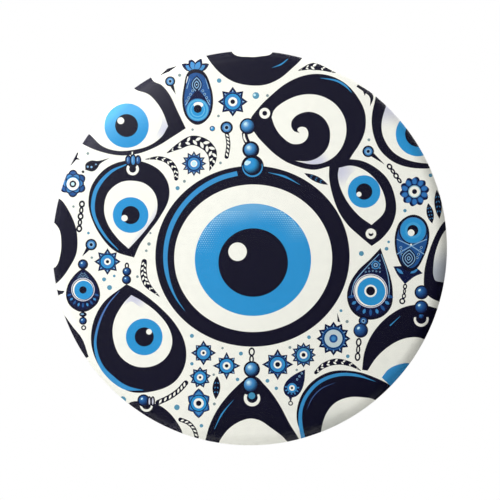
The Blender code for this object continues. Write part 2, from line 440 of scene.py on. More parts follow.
def braid(points, widths, strands, lean=38.0):
    """A plaited cord: an ink band along a line, with slanting pale strands on both sides of it."""
    paint(stroke(points, widths, (True, True)), INK)
    shares = np.linspace(0.08, 0.92, strands)
    wides = np.interp(shares, np.linspace(0.0, 1.0, len(widths)), widths)
    for wide, (at, way) in zip(wides, stations(points, shares)):
        side = np.array([-way[1], way[0]])
        for sign in (1, -1):
            centre = at + side * sign * wide * 0.2 + way * sign * wide * 0.12
            strand = leaf(wide * 0.64, wide * 0.29)
            paint(placed(strand, *centre, tilt_of(way) + sign * lean), PAPER_WHITE)


def twist(points, width, turns, lean=35.0):
    """A two-strand rope: an ink band crossed by short pale slanting strands."""
    paint(stroke(points, [width], (True, True)), INK)
    for at, way in stations(points, (np.arange(turns) + 0.5) / turns):
        paint(placed(leaf(width * 0.95, width * 0.4), *at, tilt_of(way) + lean), PAPER_WHITE)


def ink_leaf(start, end, width, slits=4):
    """A dark leaf from tip to tip, veined with blue slits."""
    start, end = np.array(start, float), np.array(end, float)
    way = end - start
    length = np.linalg.norm(way)
    tilt = tilt_of(way)
    paint(placed(leaf(length, width), *((start + end) / 2), tilt), INK)
    for i in range(slits):
        share = (i + 1.5) / (slits + 2)
        centre = start + way * share
        slit = leaf(length * 0.09, width * 0.13)
        for sign in (1, -1):
            aside = np.array([-way[1], way[0]]) / length * sign * width * 0.17
            paint(placed(slit, *(centre + aside), tilt + sign * 30), CORNFLOWER)


def charm(x, z, radius, tail_end, tail_width):
    """A small round eye bead with a tapering tail."""
    paint(stroke([(x, z), tail_end], [tail_width, tail_width * 0.8, 0.02]), INK)
    ring(x, z, radius, radius * 0.72, INK, CHARM_BLUE)
    ring(x, z, radius * 0.5, radius * 0.28, PERIWINKLE, INK)


# The artwork. Each function draws one motif or group; the order of drawing is in paint_artwork.


def paint_centre_eye():
    """The large round eye, with a blue gleam along the left of its ring."""
    paint(ellipse(0.4, -1.2, 14.27, 13.29), INK)
    paint(ellipse(0.5, -1.5, 11.6, 10.84), PAPER_WHITE)
    paint(ellipse(0.47, -1.72, 8.54, 8.25), IRIS)
    halftone_crescent(0.47, -1.72, 8.54, 8.25)
    paint(ellipse(0.5, -2.13, 5.11, 5.03), INK)
    paint(ellipse(-1.79, -0.54, 1.36), PAPER_WHITE)
    gleam = ellipse_line(0.4, -1.35, 12.8, 12.5, 100, 219, 14)
    paint(stroke(gleam, [0.7, 0.72, 0.72, 0.6, 0.05]), ARC_BLUE)
    paint(stroke([(2.7, 11.1), (5.1, 10.5), (7.4, 9.3)], [0.03, 0.3, 0.03]), ARC_BLUE)


HALFTONE_PITCH = 0.34
HALFTONE_R = 0.15
HALFTONE_LEAST_R = 0.03
HALFTONE_FIRST_ROW = -6
HALFTONE_EDGE = 0.985


def halftone_dot_radius(right, up):
    """The radius of an iris dot, at shares of the iris's half width and height: none at its middle."""
    reach = math.hypot(right, up)
    return HALFTONE_R * min(1.0, 2.2 * (reach - 0.6), 1.8 * (up - 0.12 * right - 0.1))


def halftone_crescent(x, z, across, high):
    """A soft gleam along the top of the iris, with pale printed dots at both ends of it."""
    tone = fade(blend(IRIS, ICE, 0.24), IRIS, (x - 0.8, z + high), (x - 0.2, z + 0.58 * high))
    for share in (0.995, 0.9, 0.8, 0.7):
        paint(ellipse(x, z, across * share, high * share), tone)
    rows = int(high / HALFTONE_PITCH)
    turns = np.arange(6) * math.pi / 3
    for row in range(HALFTONE_FIRST_ROW, rows + 1):
        for column in range(-rows, rows + 1):
            at = ((column + 0.5 * (row % 2)) * HALFTONE_PITCH, row * HALFTONE_PITCH * ROW_SHARE)
            reach = math.hypot(at[0] / across, at[1] / high)
            radius = min(halftone_dot_radius(at[0] / across, at[1] / high), HALFTONE_R * abs(at[0]) / 3)
            if HALFTONE_LEAST_R < radius and reach < HALFTONE_EDGE:
                spot = np.stack([radius * np.cos(turns), radius * np.sin(turns)], 1)
                paint(spot + np.array([x + at[0], z + at[1]]), blend(IRIS, ICE, 0.65 * reach * reach))


def paint_hanger():
    """The beads that the centre eye hangs from."""
    paint(stroke([(-0.75, 17.0), (-0.65, 16.2), (-0.25, 15.3)], [0.85, 0.85, 0.85]), INK)
    paint(stroke([(-0.85, 16.8), (-0.8, 16.2), (-0.5, 15.6)], [0.2, 0.3, 0.22]), PAPER_WHITE)
    ball(-0.3, 17.9, 0.97, 0.22)
    ball(0.15, 14.45, 0.95, 0.3)
    paint(ellipse(0.4, 12.0, 1.66), INK)
    paint(stroke(ellipse_line(0.4, 12.0, 1.45, 1.45, 175, 375, 9), [0.12, 0.26, 0.24, 0.1]), ARC_BLUE)
    ball(0.3, 12.1, 1.15, 0.02, CORNFLOWER, IRIS, INK)
    paint(ellipse(-0.4, 12.5, 0.42, 0.34, 35), ICE)


def paint_upper_left_eye():
    outer = [
        (-15.2, 26.2), (-14.2, 24.6), (-12.9, 23.9), (-11.7, 22.4), (-10.7, 20.3),
        (-9.4, 17.6, CORNER), (-11.4, 16.3), (-13.7, 14.9), (-16.3, 13.9), (-18.9, 13.6),
        (-21.7, 14.1), (-24.4, 15.2), (-27.4, 17.2, CORNER), (-24.0, 24.0),
    ]
    # The dark ring is painted lighter towards the upper left: a painted sheen, standing in for the film's
    # reflection of the light there.
    paint(smooth(outer), fade(ink(48, 47, 62), INK, (-19, 24), (-10, 17)))
    inner = [
        (-18.5, 24.6), (-16.8, 23.3), (-14.9, 22.6), (-13.6, 21.3), (-12.7, 19.8),
        (-12.0, 17.9, CORNER), (-13.0, 16.3), (-14.9, 15.0), (-17.2, 14.4), (-19.6, 14.3),
        (-21.7, 15.0), (-23.3, 16.5), (-26.0, 19.0, CORNER), (-23.0, 25.0, CORNER),
    ]
    paint(smooth(inner), glow(LAVENDER, PAPER_WHITE, -12.2, 17.4, 2.6, 0.1))
    lit = [
        (-13.0, 18.9), (-13.2, 17.6), (-14.4, 16.0), (-16.8, 15.1), (-20.5, 15.0), (-22.3, 16.1),
        (-24.5, 19.0), (-19.0, 23.4), (-15.0, 22.0),
    ]
    paint(smooth(lit), PAPER_WHITE)
    iris = fade(ink(86, 180, 236), IRIS, (-19.0, 20.0), (-17.0, 15.6))
    eye_discs(-18.1, 18.0, 3.27, 1.68, (-18.95, 18.7, 0.51), colour=iris)


def paint_left_drop():
    """The drop-shaped eye at the left, tied to the eye above by a knotted cord."""
    outer = [
        (-17.2, 12.9), (-13.9, 11.9), (-12.1, 9.8), (-11.9, 7.2), (-13.3, 4.4), (-14.7, 2.5),
        (-16.1, 0.6), (-17.0, -1.4, CORNER), (-19.7, -0.5), (-21.7, 1.5), (-23.2, 4.3), (-23.7, 6.9),
        (-23.0, 9.6), (-20.7, 12.0),
    ]
    paint(smooth(outer), INK)
    white = [
        (-17.5, 9.9), (-15.3, 9.4), (-13.8, 7.7), (-13.7, 5.2), (-14.9, 3.2), (-16.3, 1.5),
        (-17.8, -0.1, CORNER), (-19.3, 1.3), (-20.8, 3.4), (-21.4, 5.6), (-20.9, 8.0), (-19.3, 9.5),
    ]
    paint(smooth(white), fade(LAVENDER, PAPER_WHITE, (-15.9, 1.0), (-17.2, 1.9)))
    lit = [
        (-17.8, 9.8), (-15.6, 9.2), (-14.3, 7.5), (-14.4, 5.0), (-16.0, 2.8), (-17.9, 0.9),
        (-19.3, 1.5), (-20.7, 3.5), (-21.3, 5.6), (-20.8, 8.0), (-19.4, 9.4),
    ]
    paint(smooth(lit), PAPER_WHITE)
    eye_discs(-17.5, 4.85, 2.62, 1.33, (-18.4, 4.4, 0.47))
    gleam = [
        (-18.1, 12.3), (-20.4, 11.2), (-22.4, 8.9), (-23.05, 6.3), (-22.65, 4.2), (-21.2, 1.7),
        (-19.3, -0.3),
    ]
    paint(stroke(gleam, [0.15, 0.42, 0.58, 0.56, 0.46, 0.34, 0.1]), ARC_BLUE)
    ring(-17.2, 11.6, 0.92, 0.52, PAPER_WHITE, INK)
    paint(ellipse(-17.2, 12.15, 0.6, 0.32), INK)
    paint(stroke([(-17.3, 13.1), (-17.2, 14.2)], [0.5, 0.4], (False, True)), INK)
    paint(stroke([(-17.3, 13.3), (-17.25, 14.1)], [0.2, 0.18], (False, True)), PAPER_WHITE)
    for lobe, (reach, colour) in enumerate(((0.72, DENIM), (0.85, CORNFLOWER), (0.72, DENIM))):
        at = (-17.85 + 0.72 * lobe, 12.9)
        paint(ellipse(*at, 0.48, reach + 0.05), INK)
        paint(ellipse(*at, 0.3, reach - 0.18), colour)
        paint(ellipse(at[0] - 0.08, at[1] + 0.1, 0.08, reach - 0.4), PERIWINKLE)


def paint_lower_left_drop():
    outer = [
        (-18.1, -5.3, CORNER), (-16.1, -6.4), (-13.3, -8.6), (-10.9, -11.2), (-9.5, -14.1),
        (-9.5, -17.1), (-11.1, -19.7), (-14.0, -21.0), (-17.6, -21.1), (-20.4, -19.3), (-22.3, -17.1),
        (-23.3, -13.9), (-22.9, -10.6), (-21.3, -7.8),
    ]
    paint(smooth(outer), INK)
    white = [
        (-17.4, -6.9, CORNER), (-15.8, -7.8), (-13.6, -9.5), (-11.9, -11.7), (-11.4, -14.0),
        (-12.4, -16.2), (-14.5, -17.4), (-17.0, -17.3), (-19.1, -15.8), (-20.1, -13.1), (-19.9, -10.6),
        (-18.6, -8.2),
    ]
    paint(smooth(white), glow(LAVENDER, PAPER_WHITE, -16.9, -7.3, 2.4, 0.15))
    lit = [
        (-17.7, -7.9), (-16.2, -8.6), (-14.0, -10.0), (-12.2, -12.0), (-11.6, -14.0), (-12.6, -16.1),
        (-14.6, -17.25), (-17.0, -17.15), (-19.0, -15.7), (-19.95, -13.1), (-19.7, -10.7),
    ]
    paint(smooth(lit), PAPER_WHITE)
    eye_discs(-15.5, -13.05, 2.69, 1.4, (-14.8, -12.3, 0.42))
    gleam = [
        (-19.15, -6.3), (-20.9, -8.4), (-22.2, -11.2), (-22.7, -14.2), (-21.9, -17.2), (-20.2, -19.2),
        (-18.2, -20.5), (-15.6, -20.9),
    ]
    paint(stroke(gleam, [0.06, 0.2, 0.3, 0.38, 0.58, 0.8, 0.7, 0.03]),
          fade(ink(84, 122, 186), ARC_BLUE, (-21.4, -9.5), (-22.6, -15.0)))
    chain((-18.05, -2.2), (-18.05, -3.0), 1, 0.66, 0.2)
    ball(-18.05, -3.45, 0.5, 0.16, CORNFLOWER, DENIM)
    ball(-18.1, -4.65, 0.5, 0.18, CORNFLOWER, DENIM)


def paint_swirl():
    """The big comma-shaped scroll at the top right."""
    outer = [
        (0.0, 18.5), (1.4, 20.7), (3.1, 22.4), (5.2, 24.1), (7.5, 25.2), (9.9, 25.6), (12.2, 25.2),
        (14.3, 24.0), (15.9, 22.1), (16.9, 20.0), (17.0, 17.7), (16.4, 15.8), (15.2, 13.9),
        (14.1, 12.5), (11.7, 12.0), (9.2, 11.5), (5.9, 12.4), (3.8, 13.7), (2.1, 15.3), (0.9, 16.7),
    ]
    paint(smooth(outer), INK)
    comma = [
        (3.2, 19.2, CORNER), (3.6, 20.3), (4.9, 21.4), (6.8, 22.3), (8.7, 22.6), (10.6, 22.3),
        (12.5, 21.2), (13.8, 19.4), (14.2, 17.4), (13.8, 15.4), (12.7, 13.7), (11.0, 12.6),
        (9.2, 12.3), (6.7, 12.8, CORNER), (8.7, 12.8), (10.2, 13.4), (11.4, 14.7), (11.8, 16.3),
        (11.6, 17.9), (10.6, 19.3), (9.0, 20.0), (7.4, 19.75), (6.3, 18.9), (6.1, 17.9), (6.5, 17.2),
        (7.3, 16.9, CORNER), (7.0, 17.4), (7.5, 17.8), (8.3, 17.6), (8.6, 16.7), (8.2, 15.8),
        (7.3, 15.3), (6.0, 15.4), (4.6, 16.5), (3.7, 17.8),
    ]
    paint(smooth(comma), glow(LAVENDER, PAPER_WHITE, 9.6, 12.2, 2.6, 0.3))
    ring(2.2, 19.8, 0.8, 0.36, PAPER_WHITE, INK)
    paint(stroke([(10.3, 25.0), (12.7, 24.6), (14.1, 23.8), (15.0, 22.8)],
                 [0.03, 0.3, 0.3, 0.03]), ARC_BLUE)


def paint_right_drop():
    """The drop-shaped eye right of the centre, whose tip points down."""
    outer = [
        (11.7, 12.4, CORNER), (11.65, 10.4), (12.1, 8.0), (13.0, 5.5), (14.4, 3.4), (16.0, 1.9),
        (17.9, 0.3, CORNER), (19.4, 1.4), (20.8, 3.2), (21.5, 5.5), (21.2, 8.0), (20.2, 10.2),
        (18.5, 11.8), (16.5, 12.8), (14.4, 13.1, CORNER),
    ]
    paint(smooth(outer), INK)
    white = [
        (13.1, 11.8, CORNER), (15.0, 12.1), (17.1, 11.3), (18.9, 9.5), (19.9, 7.1), (19.7, 5.2),
        (17.9, 3.4, CORNER), (16.1, 4.7), (14.4, 6.7), (13.3, 8.9), (12.95, 10.6),
    ]
    paint(smooth(white), glow(LAVENDER, PAPER_WHITE, 13.2, 11.4, 3.0, 0.1))
    lit = [
        (15.4, 11.3), (17.2, 10.8), (18.7, 9.2), (19.6, 7.0), (19.4, 5.2), (17.9, 3.9), (16.2, 5.1),
        (14.7, 7.0), (14.0, 9.0),
    ]
    paint(smooth(lit), PAPER_WHITE)
    eye_discs(16.8, 8.3, 2.39, 1.2, (16.05, 7.9, 0.38))
    ring(17.8, 2.1, 0.78, 0.36, PAPER_WHITE, INK)
    paint(ellipse(17.8, 2.3, 0.3, 0.2), PAPER_WHITE)


def paint_right_rim_eye():
    """The eye that the rim cuts off at the upper right."""
    outer = [
        (19.4, 23.6), (18.3, 21.2), (17.9, 18.7), (18.3, 16.2), (19.3, 14.2), (21.2, 12.6),
        (23.7, 11.8), (26.6, 11.7), (30.5, 11.9, CORNER), (27.5, 19.0, CORNER),
    ]
    paint(smooth(outer), INK)
    inner = [
        (21.0, 22.4), (19.8, 20.1), (19.35, 17.9), (19.8, 15.9), (21.2, 14.0), (23.3, 12.9),
        (26.1, 12.45), (30.5, 12.6, CORNER), (27.5, 19.0, CORNER),
    ]
    paint(smooth(inner), fade(LAVENDER, PAPER_WHITE, (20.6, 20.8), (21.4, 17.4)))
    eye_discs(24.7, 16.75, 3.25, 1.85)


def paint_top_crescent():
    outer = [
        (-7.6, 30.2, CORNER), (-6.3, 28.1), (-5.3, 26.7), (-4.1, 25.5), (-2.3, 24.4), (0.0, 23.9),
        (2.3, 24.0), (4.4, 24.9), (6.1, 26.3), (7.6, 27.8), (9.0, 30.0, CORNER),
    ]
    paint(smooth(outer), INK)
    lens = [
        (-3.4, 30.5, CORNER), (-2.3, 28.5), (0.0, 28.1), (1.6, 28.2), (3.2, 28.6), (4.6, 30.5, CORNER),
    ]
    paint(smooth(lens), PAPER_WHITE)
    paint(stroke([(3.3, 26.5), (4.6, 27.0), (5.6, 27.8)], [0.03, 0.22, 0.1]), ARC_BLUE)


def paint_left_band():
    band = [
        (-30.5, 8.2, CORNER), (-27.9, 7.2), (-26.6, 5.5), (-25.6, 3.2), (-25.3, 1.1), (-25.5, -0.9),
        (-26.4, -2.7), (-27.6, -4.4), (-30.0, -6.6, CORNER), (-30.5, -3.6), (-28.6, -2.8),
        (-27.9, -1.2), (-27.7, 0.8), (-28.1, 2.9), (-30.2, 5.0, CORNER),
    ]
    paint(smooth(band), INK)


def paint_lower_left_rim():
    """A sliver of ink and two specks where motifs run over the rim."""
    sliver = [
        (-27.6, -9.4, CORNER), (-26.0, -11.6), (-24.6, -13.4), (-23.7, -16.0, CORNER),
        (-27.0, -17.0, CORNER),
    ]
    paint(smooth(sliver), INK)
    paint([(-30.0, -6.0), (-27.2, -6.3), (-27.5, -6.7), (-30.0, -7.6)], INK)
    dot(-18.7, -22.3, 0.5, TEAL_DOT)


def paint_bottom_left_hill():
    hill = [
        (-19.5, -24.6, CORNER), (-17.6, -22.7), (-15.2, -22.6), (-13.3, -23.1), (-11.8, -24.2),
        (-10.7, -25.6), (-9.9, -27.2), (-9.6, -31.0, CORNER),
    ]
    paint(smooth(hill), INK)
    twist([(-13.5, -22.7), (-11.8, -21.9), (-10.4, -20.9), (-9.4, -19.8)], 0.75, 7)
    paint(stroke(ellipse_line(-15.2, -23.0, 0.85, 0.9, 190, 350, 7), [0.3, 0.36, 0.3]), PAPER_WHITE)
    ball(-15.6, -22.4, 0.72, 0.2, CORNFLOWER, DENIM)
    for side in (0.0, 0.5):
        paint(ellipse(-14.75 + side, -22.5, 0.34, 0.75), INK)
        paint(ellipse(-14.75 + side, -22.5, 0.12, 0.5), LAVENDER)


def paint_bottom_arch():
    """The pointed arch at the bottom, with the beads that it hangs from."""
    outer = [
        (-7.4, -30.8, CORNER), (-6.5, -28.1), (-6.0, -26.3), (-5.1, -24.3), (-3.9, -22.5),
        (-2.2, -20.6), (-0.4, -19.1), (0.9, -18.9), (2.0, -19.9), (3.3, -21.4), (4.6, -23.4),
        (5.8, -25.7), (7.2, -28.0), (8.6, -30.8, CORNER),
    ]
    # The arch's ink is painted darker towards the bottom: painted shade of the rim's lower side.
    paint(smooth(outer), fade(INK, ink(12, 12, 32), (0, -22), (0, -28)))
    inside = [
        (-5.6, -30.8, CORNER), (-4.4, -28.3), (-2.8, -26.3), (-0.4, -25.1), (1.4, -25.3), (3.1, -26.4),
        (5.1, -28.0), (7.2, -30.8, CORNER),
    ]
    paint(smooth(inside), PAPER_WHITE)
    paint(stroke([(-2.4, -22.3), (-4.1, -24.4), (-5.2, -26.6)], [0.03, 0.22, 0.05]), ARC_BLUE)
    chain((0.3, -14.7), (0.25, -16.9), 2, 0.95, 0.22)
    ball(0.3, -17.8, 0.95, 0.25)
    ball(0.15, -20.1, 1.0, 0.28)
    paint(stroke(ellipse_line(0.35, -22.0, 1.0, 1.0, 150, 390, 12), [0.42, 0.5, 0.5, 0.3]), PAPER_WHITE)
    paint(ellipse(0.3, -21.7, 0.5), ink(70, 150, 190))


def paint_lower_right_arch():
    outer = [
        (7.2, -30.6, CORNER), (7.6, -27.9), (6.9, -25.2), (7.1, -22.9), (8.1, -20.8), (9.7, -19.2),
        (12.1, -18.1), (15.0, -18.05), (17.6, -18.7), (20.8, -20.3), (22.6, -22.5, CORNER),
        (17.0, -28.0),
    ]
    # The arch's ink is painted darker towards the bottom: painted shade near the lower rim.
    paint(smooth(outer), fade(INK, ink(12, 12, 32), (10, -19), (12, -26)))
    inside = [
        (10.4, -30.0, CORNER), (10.5, -26.9), (11.2, -24.4), (12.6, -22.7), (14.7, -21.9),
        (17.2, -22.0), (18.5, -22.4), (21.0, -24.5, CORNER),
    ]
    # The paper inside the arch is painted grey towards the bottom: painted shade near the lower rim.
    paint(smooth(inside), fade(PAPER_WHITE, ink(214, 216, 208), (13, -22), (13, -27)))
    gleam = [
        (8.0, -28.6), (7.45, -25.8), (7.55, -23.6), (8.4, -21.6), (10.2, -19.7), (12.8, -18.65),
        (15.7, -18.7), (18.5, -19.6),
    ]
    paint(stroke(gleam, [0.62, 0.56, 0.5, 0.5, 0.5, 0.48, 0.4, 0.03]), ARC_BLUE)
    paint(stroke([(8.4, -23.7), (9.2, -22.0), (10.6, -20.6), (12.5, -19.8)],
                 [0.03, 0.14, 0.14, 0.03]), SOFT_GLEAM)


def paint_right_arch():
    outer = [
        (16.5, -17.9, CORNER), (16.8, -15.5), (17.6, -13.3), (18.9, -11.4), (20.5, -9.9), (22.6, -8.7),
        (25.0, -8.3), (27.6, -8.9), (30.0, -9.8, CORNER), (28.0, -14.6, CORNER), (25.4, -13.3),
        (23.9, -13.1), (22.1, -13.5), (20.2, -14.6), (18.6, -16.1), (17.3, -18.0, CORNER),
    ]
    # The ink is painted darker towards the lower right: painted shade near the rim.
    paint(smooth(outer), fade(INK, ink(14, 14, 34), (20, -10), (26, -13)))
    iris = [
        (19.4, -19.0, CORNER), (20.4, -17.8), (21.9, -17.1), (23.6, -17.0), (25.6, -18.4, CORNER),
        (22.0, -21.6, CORNER),
    ]
    paint(smooth(iris), ARC_BLUE)
    paint(stroke([(20.6, -11.4), (22.1, -10.0)], [0.18, 0.04]), ARC_BLUE)
    paint(stroke(ellipse_line(25.2, -10.4, 0.95, 0.95, 165, 375, 9), [0.3, 0.42, 0.42, 0.3]), PAPER_WHITE)
    ball(25.2, -10.0, 0.36, 0.12, CORNFLOWER, DENIM)
    ball(25.25, -6.5, 0.85, 0.2, CORNFLOWER, DENIM)
    ball(25.2, -8.7, 0.85, 0.2, CORNFLOWER, DENIM)


def paint_right_band():
    band = [
        (30.4, 5.4, CORNER), (28.5, 3.8), (27.2, 1.7), (26.2, -1.0), (25.6, -3.9), (25.9, -6.6),
        (27.9, -7.9), (30.5, -8.4, CORNER),
    ]
    paint(smooth(band), INK)
    inside = [
        (30.3, 4.0, CORNER), (28.6, 2.4), (27.5, 0.1), (27.0, -2.3), (27.15, -4.6), (28.3, -5.0),
        (30.8, -5.2, CORNER),
    ]
    # The paper inside the band is painted grey towards the rim at the lower right: painted shade where the
    # rim turns away from the light.
    paint(smooth(inside), fade(ink(178, 184, 192), PAPER_WHITE, (29.0, -3.0), (27.6, 0.8)))


def diamonds(x, z, plumpness, bands, tilt=0.0):
    """Pointed ovals about one centre, each (reach, colour), from the widest to the smallest."""
    for reach, colour in bands:
        paint(placed(leaf(2 * reach, plumpness * reach), x, z, tilt), colour)


def paint_long_amulet_left():
    """A pod-shaped amulet with a leafy crown and an eye at its foot."""
    for tilt, reach in ((62, 2.3), (-62, 2.3), (25, 2.1), (-25, 2.1)):
        petal = placed(leaf(reach, 1.1), 0.0, reach / 2)
        paint(placed(petal, -8.0, 26.0, tilt), NAVY)
        paint(placed(0.72 * petal, -8.0, 26.05, tilt), CORNFLOWER)
    pod = [
        (-8.9, 26.0), (-9.7, 23.6), (-9.9, 21.2), (-9.3, 19.2), (-7.7, 18.1), (-6.0, 19.2),
        (-5.4, 21.2), (-5.7, 23.7), (-6.9, 26.0),
    ]
    paint(smooth(pod), INK)
    paint(shrunk(smooth(pod), 0.87, -7.7, 22.0), DENIM)
    bands = [(1.35, NAVY), (1.12, PERIWINKLE), (0.92, NAVY), (0.62, PERIWINKLE), (0.42, NAVY)]
    diamonds(-7.8, 24.0, 1.25, bands)
    dot(-7.8, 24.0, 0.1, ICE)
    middle = -7.65
    for side in (-1, 1):
        brow = [(middle, 22.7), (middle + side * 0.9, 22.2), (middle + side * 1.8, 21.0)]
        paint(stroke(brow, [0.14]), PERIWINKLE)
        for step in range(4):
            at = (middle + side * (0.75 + 0.28 * step), 23.1 - 0.5 * step)
            ring(*at, 0.2, 0.11, PERIWINKLE, NAVY)
        paint(stroke([(middle + side * 1.15, 24.9), (middle + side * 1.6, 23.4)],
                     [0.06, 0.12]), PERIWINKLE)
    paint(placed(drop(3.3, 4.7, 1.35), middle, 20.9), NAVY)
    glass, shine = ink(90, 180, 220), ink(110, 190, 225)
    discs(middle, 20.3, (1.66, CORNFLOWER), (1.52, glass), (1.3, IRIS), (1.05, shine), (0.92, IRIS))
    paint(ellipse(-7.55, 21.05, 0.72, 0.42), PAPER_WHITE)
    dot(middle, 20.45, 0.6, INK)
    paint(stroke([(-9.1, 25.2), (-9.35, 24.2)], [0.16, 0.05]), PAPER_WHITE)


def paint_long_amulet_right():
    """A fish-shaped amulet that leans to the right, with a chain below its tail."""
    tail = [
        (22.9, -2.6, CORNER), (21.1, -2.7, CORNER), (21.7, -3.9), (22.8, -5.3, CORNER), (24.2, -4.2),
        (25.4, -3.7, CORNER), (24.3, -2.8),
    ]
    paint(smooth(tail), NAVY)
    for side, tilt in ((-1, 50), (1, -62)):
        paint(placed(leaf(1.3, 0.45), 23.1 + side * 1.05, -3.4, tilt), CORNFLOWER)
    body = [
        (23.9, 4.9), (22.1, 3.9), (21.4, 2.2), (21.3, 0.5), (21.7, -1.4), (22.8, -3.2), (24.3, -3.2),
        (25.6, -1.2), (26.3, 1.0), (26.3, 2.8), (25.5, 4.3),
    ]
    paint(smooth(body), INK)
    paint(shrunk(smooth(body), 0.88, 23.8, 0.6), DENIM)
    discs(24.0, 2.6, (2.1, INK), (1.92, CORNFLOWER), (1.75, IRIS), (1.2, ink(70, 165, 220)))
    dot(23.95, 2.6, 0.8, INK)
    dot(23.7, 2.25, 0.5, PAPER_WHITE)
    for side in (-1, 1):
        crossing = [(23.8 - side * 2.2, 1.3), (23.75, 0.3), (23.6 + side * 2.0, -0.9)]
        paint(stroke(crossing, [0.12, 0.16, 0.12]), PERIWINKLE)
        for step in range(4):
            across = 23.7 + side * (1.5 - 0.14 * step) - 0.06 * step
            ring(across, 0.1 - 0.5 * step, 0.2, 0.11, PERIWINKLE, NAVY)
    dot(23.7, 0.5, 0.14, PAPER_WHITE)
    bands = [(1.5, INK), (1.3, PERIWINKLE), (1.12, NAVY), (0.8, PERIWINKLE), (0.64, NAVY)]
    bands += [(0.36, PERIWINKLE), (0.2, NAVY)]
    diamonds(23.35, -1.5, 1.5, bands, -6)
    chain((22.85, -5.3), (22.6, -7.4), 3, 0.62, 0.18)
    ring(22.4, -7.8, 0.46, 0.24, INK, PAPER_WHITE)


def paint_drop_amulet(outline, eye, radii, tip, fan, wedge):
    """A drop-shaped amulet: an eye in a pale ring, a patterned tip, and a fan of wedges below.

    The radii are those of the pale ring, the white and the iris; the fan runs between two angles.
    """
    x, z = eye
    outer, white, blue = radii
    paint(smooth(outline), INK)
    paint(shrunk(smooth(outline), 0.9, x, z), NAVY)
    reach = outer + 0.42
    for step, turn in enumerate(np.linspace(*fan, 9)):
        angle = math.radians(turn)
        centre = (x + reach * math.cos(angle), z + 1.08 * reach * math.sin(angle))
        length, colour = ((0.85, DENIM), (0.62, CORNFLOWER))[step % 2]
        paint(placed(leaf(length * wedge, 0.36 * wedge), *centre, turn - 90), colour)
    ring(x, z, outer, outer - 0.13, LAVENDER, NAVY)
    dot(x, z, white, PAPER_WHITE)
    dot(x + 0.1, z - 0.08, blue, IRIS)
    for row in range(4):
        share = 0.25 + 0.17 * row
        for place in np.linspace(-1, 1, row + 2):
            middle = (tip[0] + (x - tip[0]) * share, tip[1] + (z + outer - tip[1]) * (share + 0.1))
            across = middle[0] + place * 0.55 * outer * share
            ring(across, middle[1] - 0.15 * abs(place), 0.05 * outer, 0.027 * outer, PERIWINKLE, NAVY)


def paint_left_amulet():
    outline = [
        (-24.5, -2.9, CORNER), (-23.3, -3.9), (-22.3, -5.4), (-22.0, -7.1), (-22.7, -8.5),
        (-24.5, -9.4), (-26.3, -8.6), (-27.0, -7.1), (-26.7, -5.4), (-25.7, -3.9),
    ]
    paint_drop_amulet(outline, (-24.5, -6.1), (1.72, 1.5, 1.38), (-24.5, -3.1), (200, 340), 0.9)
    dot(-24.5, -6.15, 0.54, INK)
    paint(stroke([(-24.5, -9.3), (-24.5, -11.2)], [0.5, 0.3]), INK)
    paint(ellipse(-24.5, -9.75, 0.55, 0.36), INK)
    paint(ellipse(-24.6, -9.7, 0.26, 0.12), PERIWINKLE)
    ball(-24.5, -2.4, 0.54, 0.22, CORNFLOWER, DENIM)
    ball(-24.5, -10.7, 0.42, 0.16, CORNFLOWER, DENIM)
    ring(-24.4, -11.7, 0.38, 0.19, INK, PAPER_WHITE)


def paint_right_amulet():
    outline = [
        (19.2, 0.0, CORNER), (17.6, -1.7), (16.0, -3.2), (14.7, -5.2), (14.3, -7.4), (15.2, -9.5),
        (17.2, -10.5), (19.4, -10.1), (20.8, -8.5), (21.0, -6.2), (20.6, -4.0), (19.8, -1.7),
    ]
    paint_drop_amulet(outline, (17.75, -6.3), (2.5, 2.3, 2.06), (19.1, -0.6), (195, 345), 1.25)
    paint(stroke([(19.0, -0.9), (17.0, -3.0), (15.4, -5.0), (14.9, -7.0)],
                 [0.1, 0.12, 0.12, 0.05]), PERIWINKLE)
    paint(stroke([(19.3, -0.9), (20.1, -3.2), (20.5, -5.6), (20.4, -7.4)],
                 [0.1, 0.12, 0.12, 0.05]), PERIWINKLE)
    discs(18.5, -2.5, (0.62, CORNFLOWER), (0.46, NAVY), (0.32, PERIWINKLE), (0.16, NAVY))
    ring(17.75, -6.3, 0.92, 0.66, PAPER_WHITE, INK)
    paint(stroke([(16.0, -13.0), (16.4, -11.9), (16.8, -10.3)], [0.3, 0.4, 0.6]), INK)
    discs(16.7, -10.7, (0.72, INK), (0.5, DENIM), (0.3, PERIWINKLE), (0.16, NAVY))
    ball(16.3, -12.1, 0.92, 0.16, CORNFLOWER, DENIM)
    chain((16.05, -13.3), (15.8, -16.5), 3, 0.85, 0.22)


def paint_rosettes():
    """The pointed rosettes; the numbers are those of rosette, in its order."""
    rosette(-2.5, 21.5, 8, 2.2, 1.5, 1.16, 0.67, 0.34)
    rosette(-8.2, 12.4, 12, 1.85, 1.3, 0.9, 0.5, 0.12, core=CORNFLOWER)
    dot(-8.2, 12.4, 0.36, ICE)
    rosette(-20.9, -2.0, 8, 1.95, 1.3, 1.0, 0.5, 0.25)
    rosette(-6.8, -15.4, 8, 1.85, 1.2, 0.95, 0.43, 0.2, 1.6)
    rosette(-3.4, -17.3, 8, 2.05, 1.2, 1.0, 0.56, 0.27, 1.7)
    rosette(-7.3, -19.0, 9, 1.6, 1.15, 0.88, 0.47, 0.2)
    rosette(4.1, -17.1, 8, 2.3, 1.45, 1.1, 0.6, 0.36, 2.0)
    rosette(7.9, -15.7, 12, 1.85, 1.35, 1.0, 0.56, 0.3, core=ink(70, 150, 190))
    rosette(12.3, -13.3, 12, 2.5, 1.9, 1.35, 0.6, 0.5)
    discs(12.3, -13.3, (1.3, ink(196, 212, 216)), (0.62, DENIM), (0.34, CORNFLOWER))


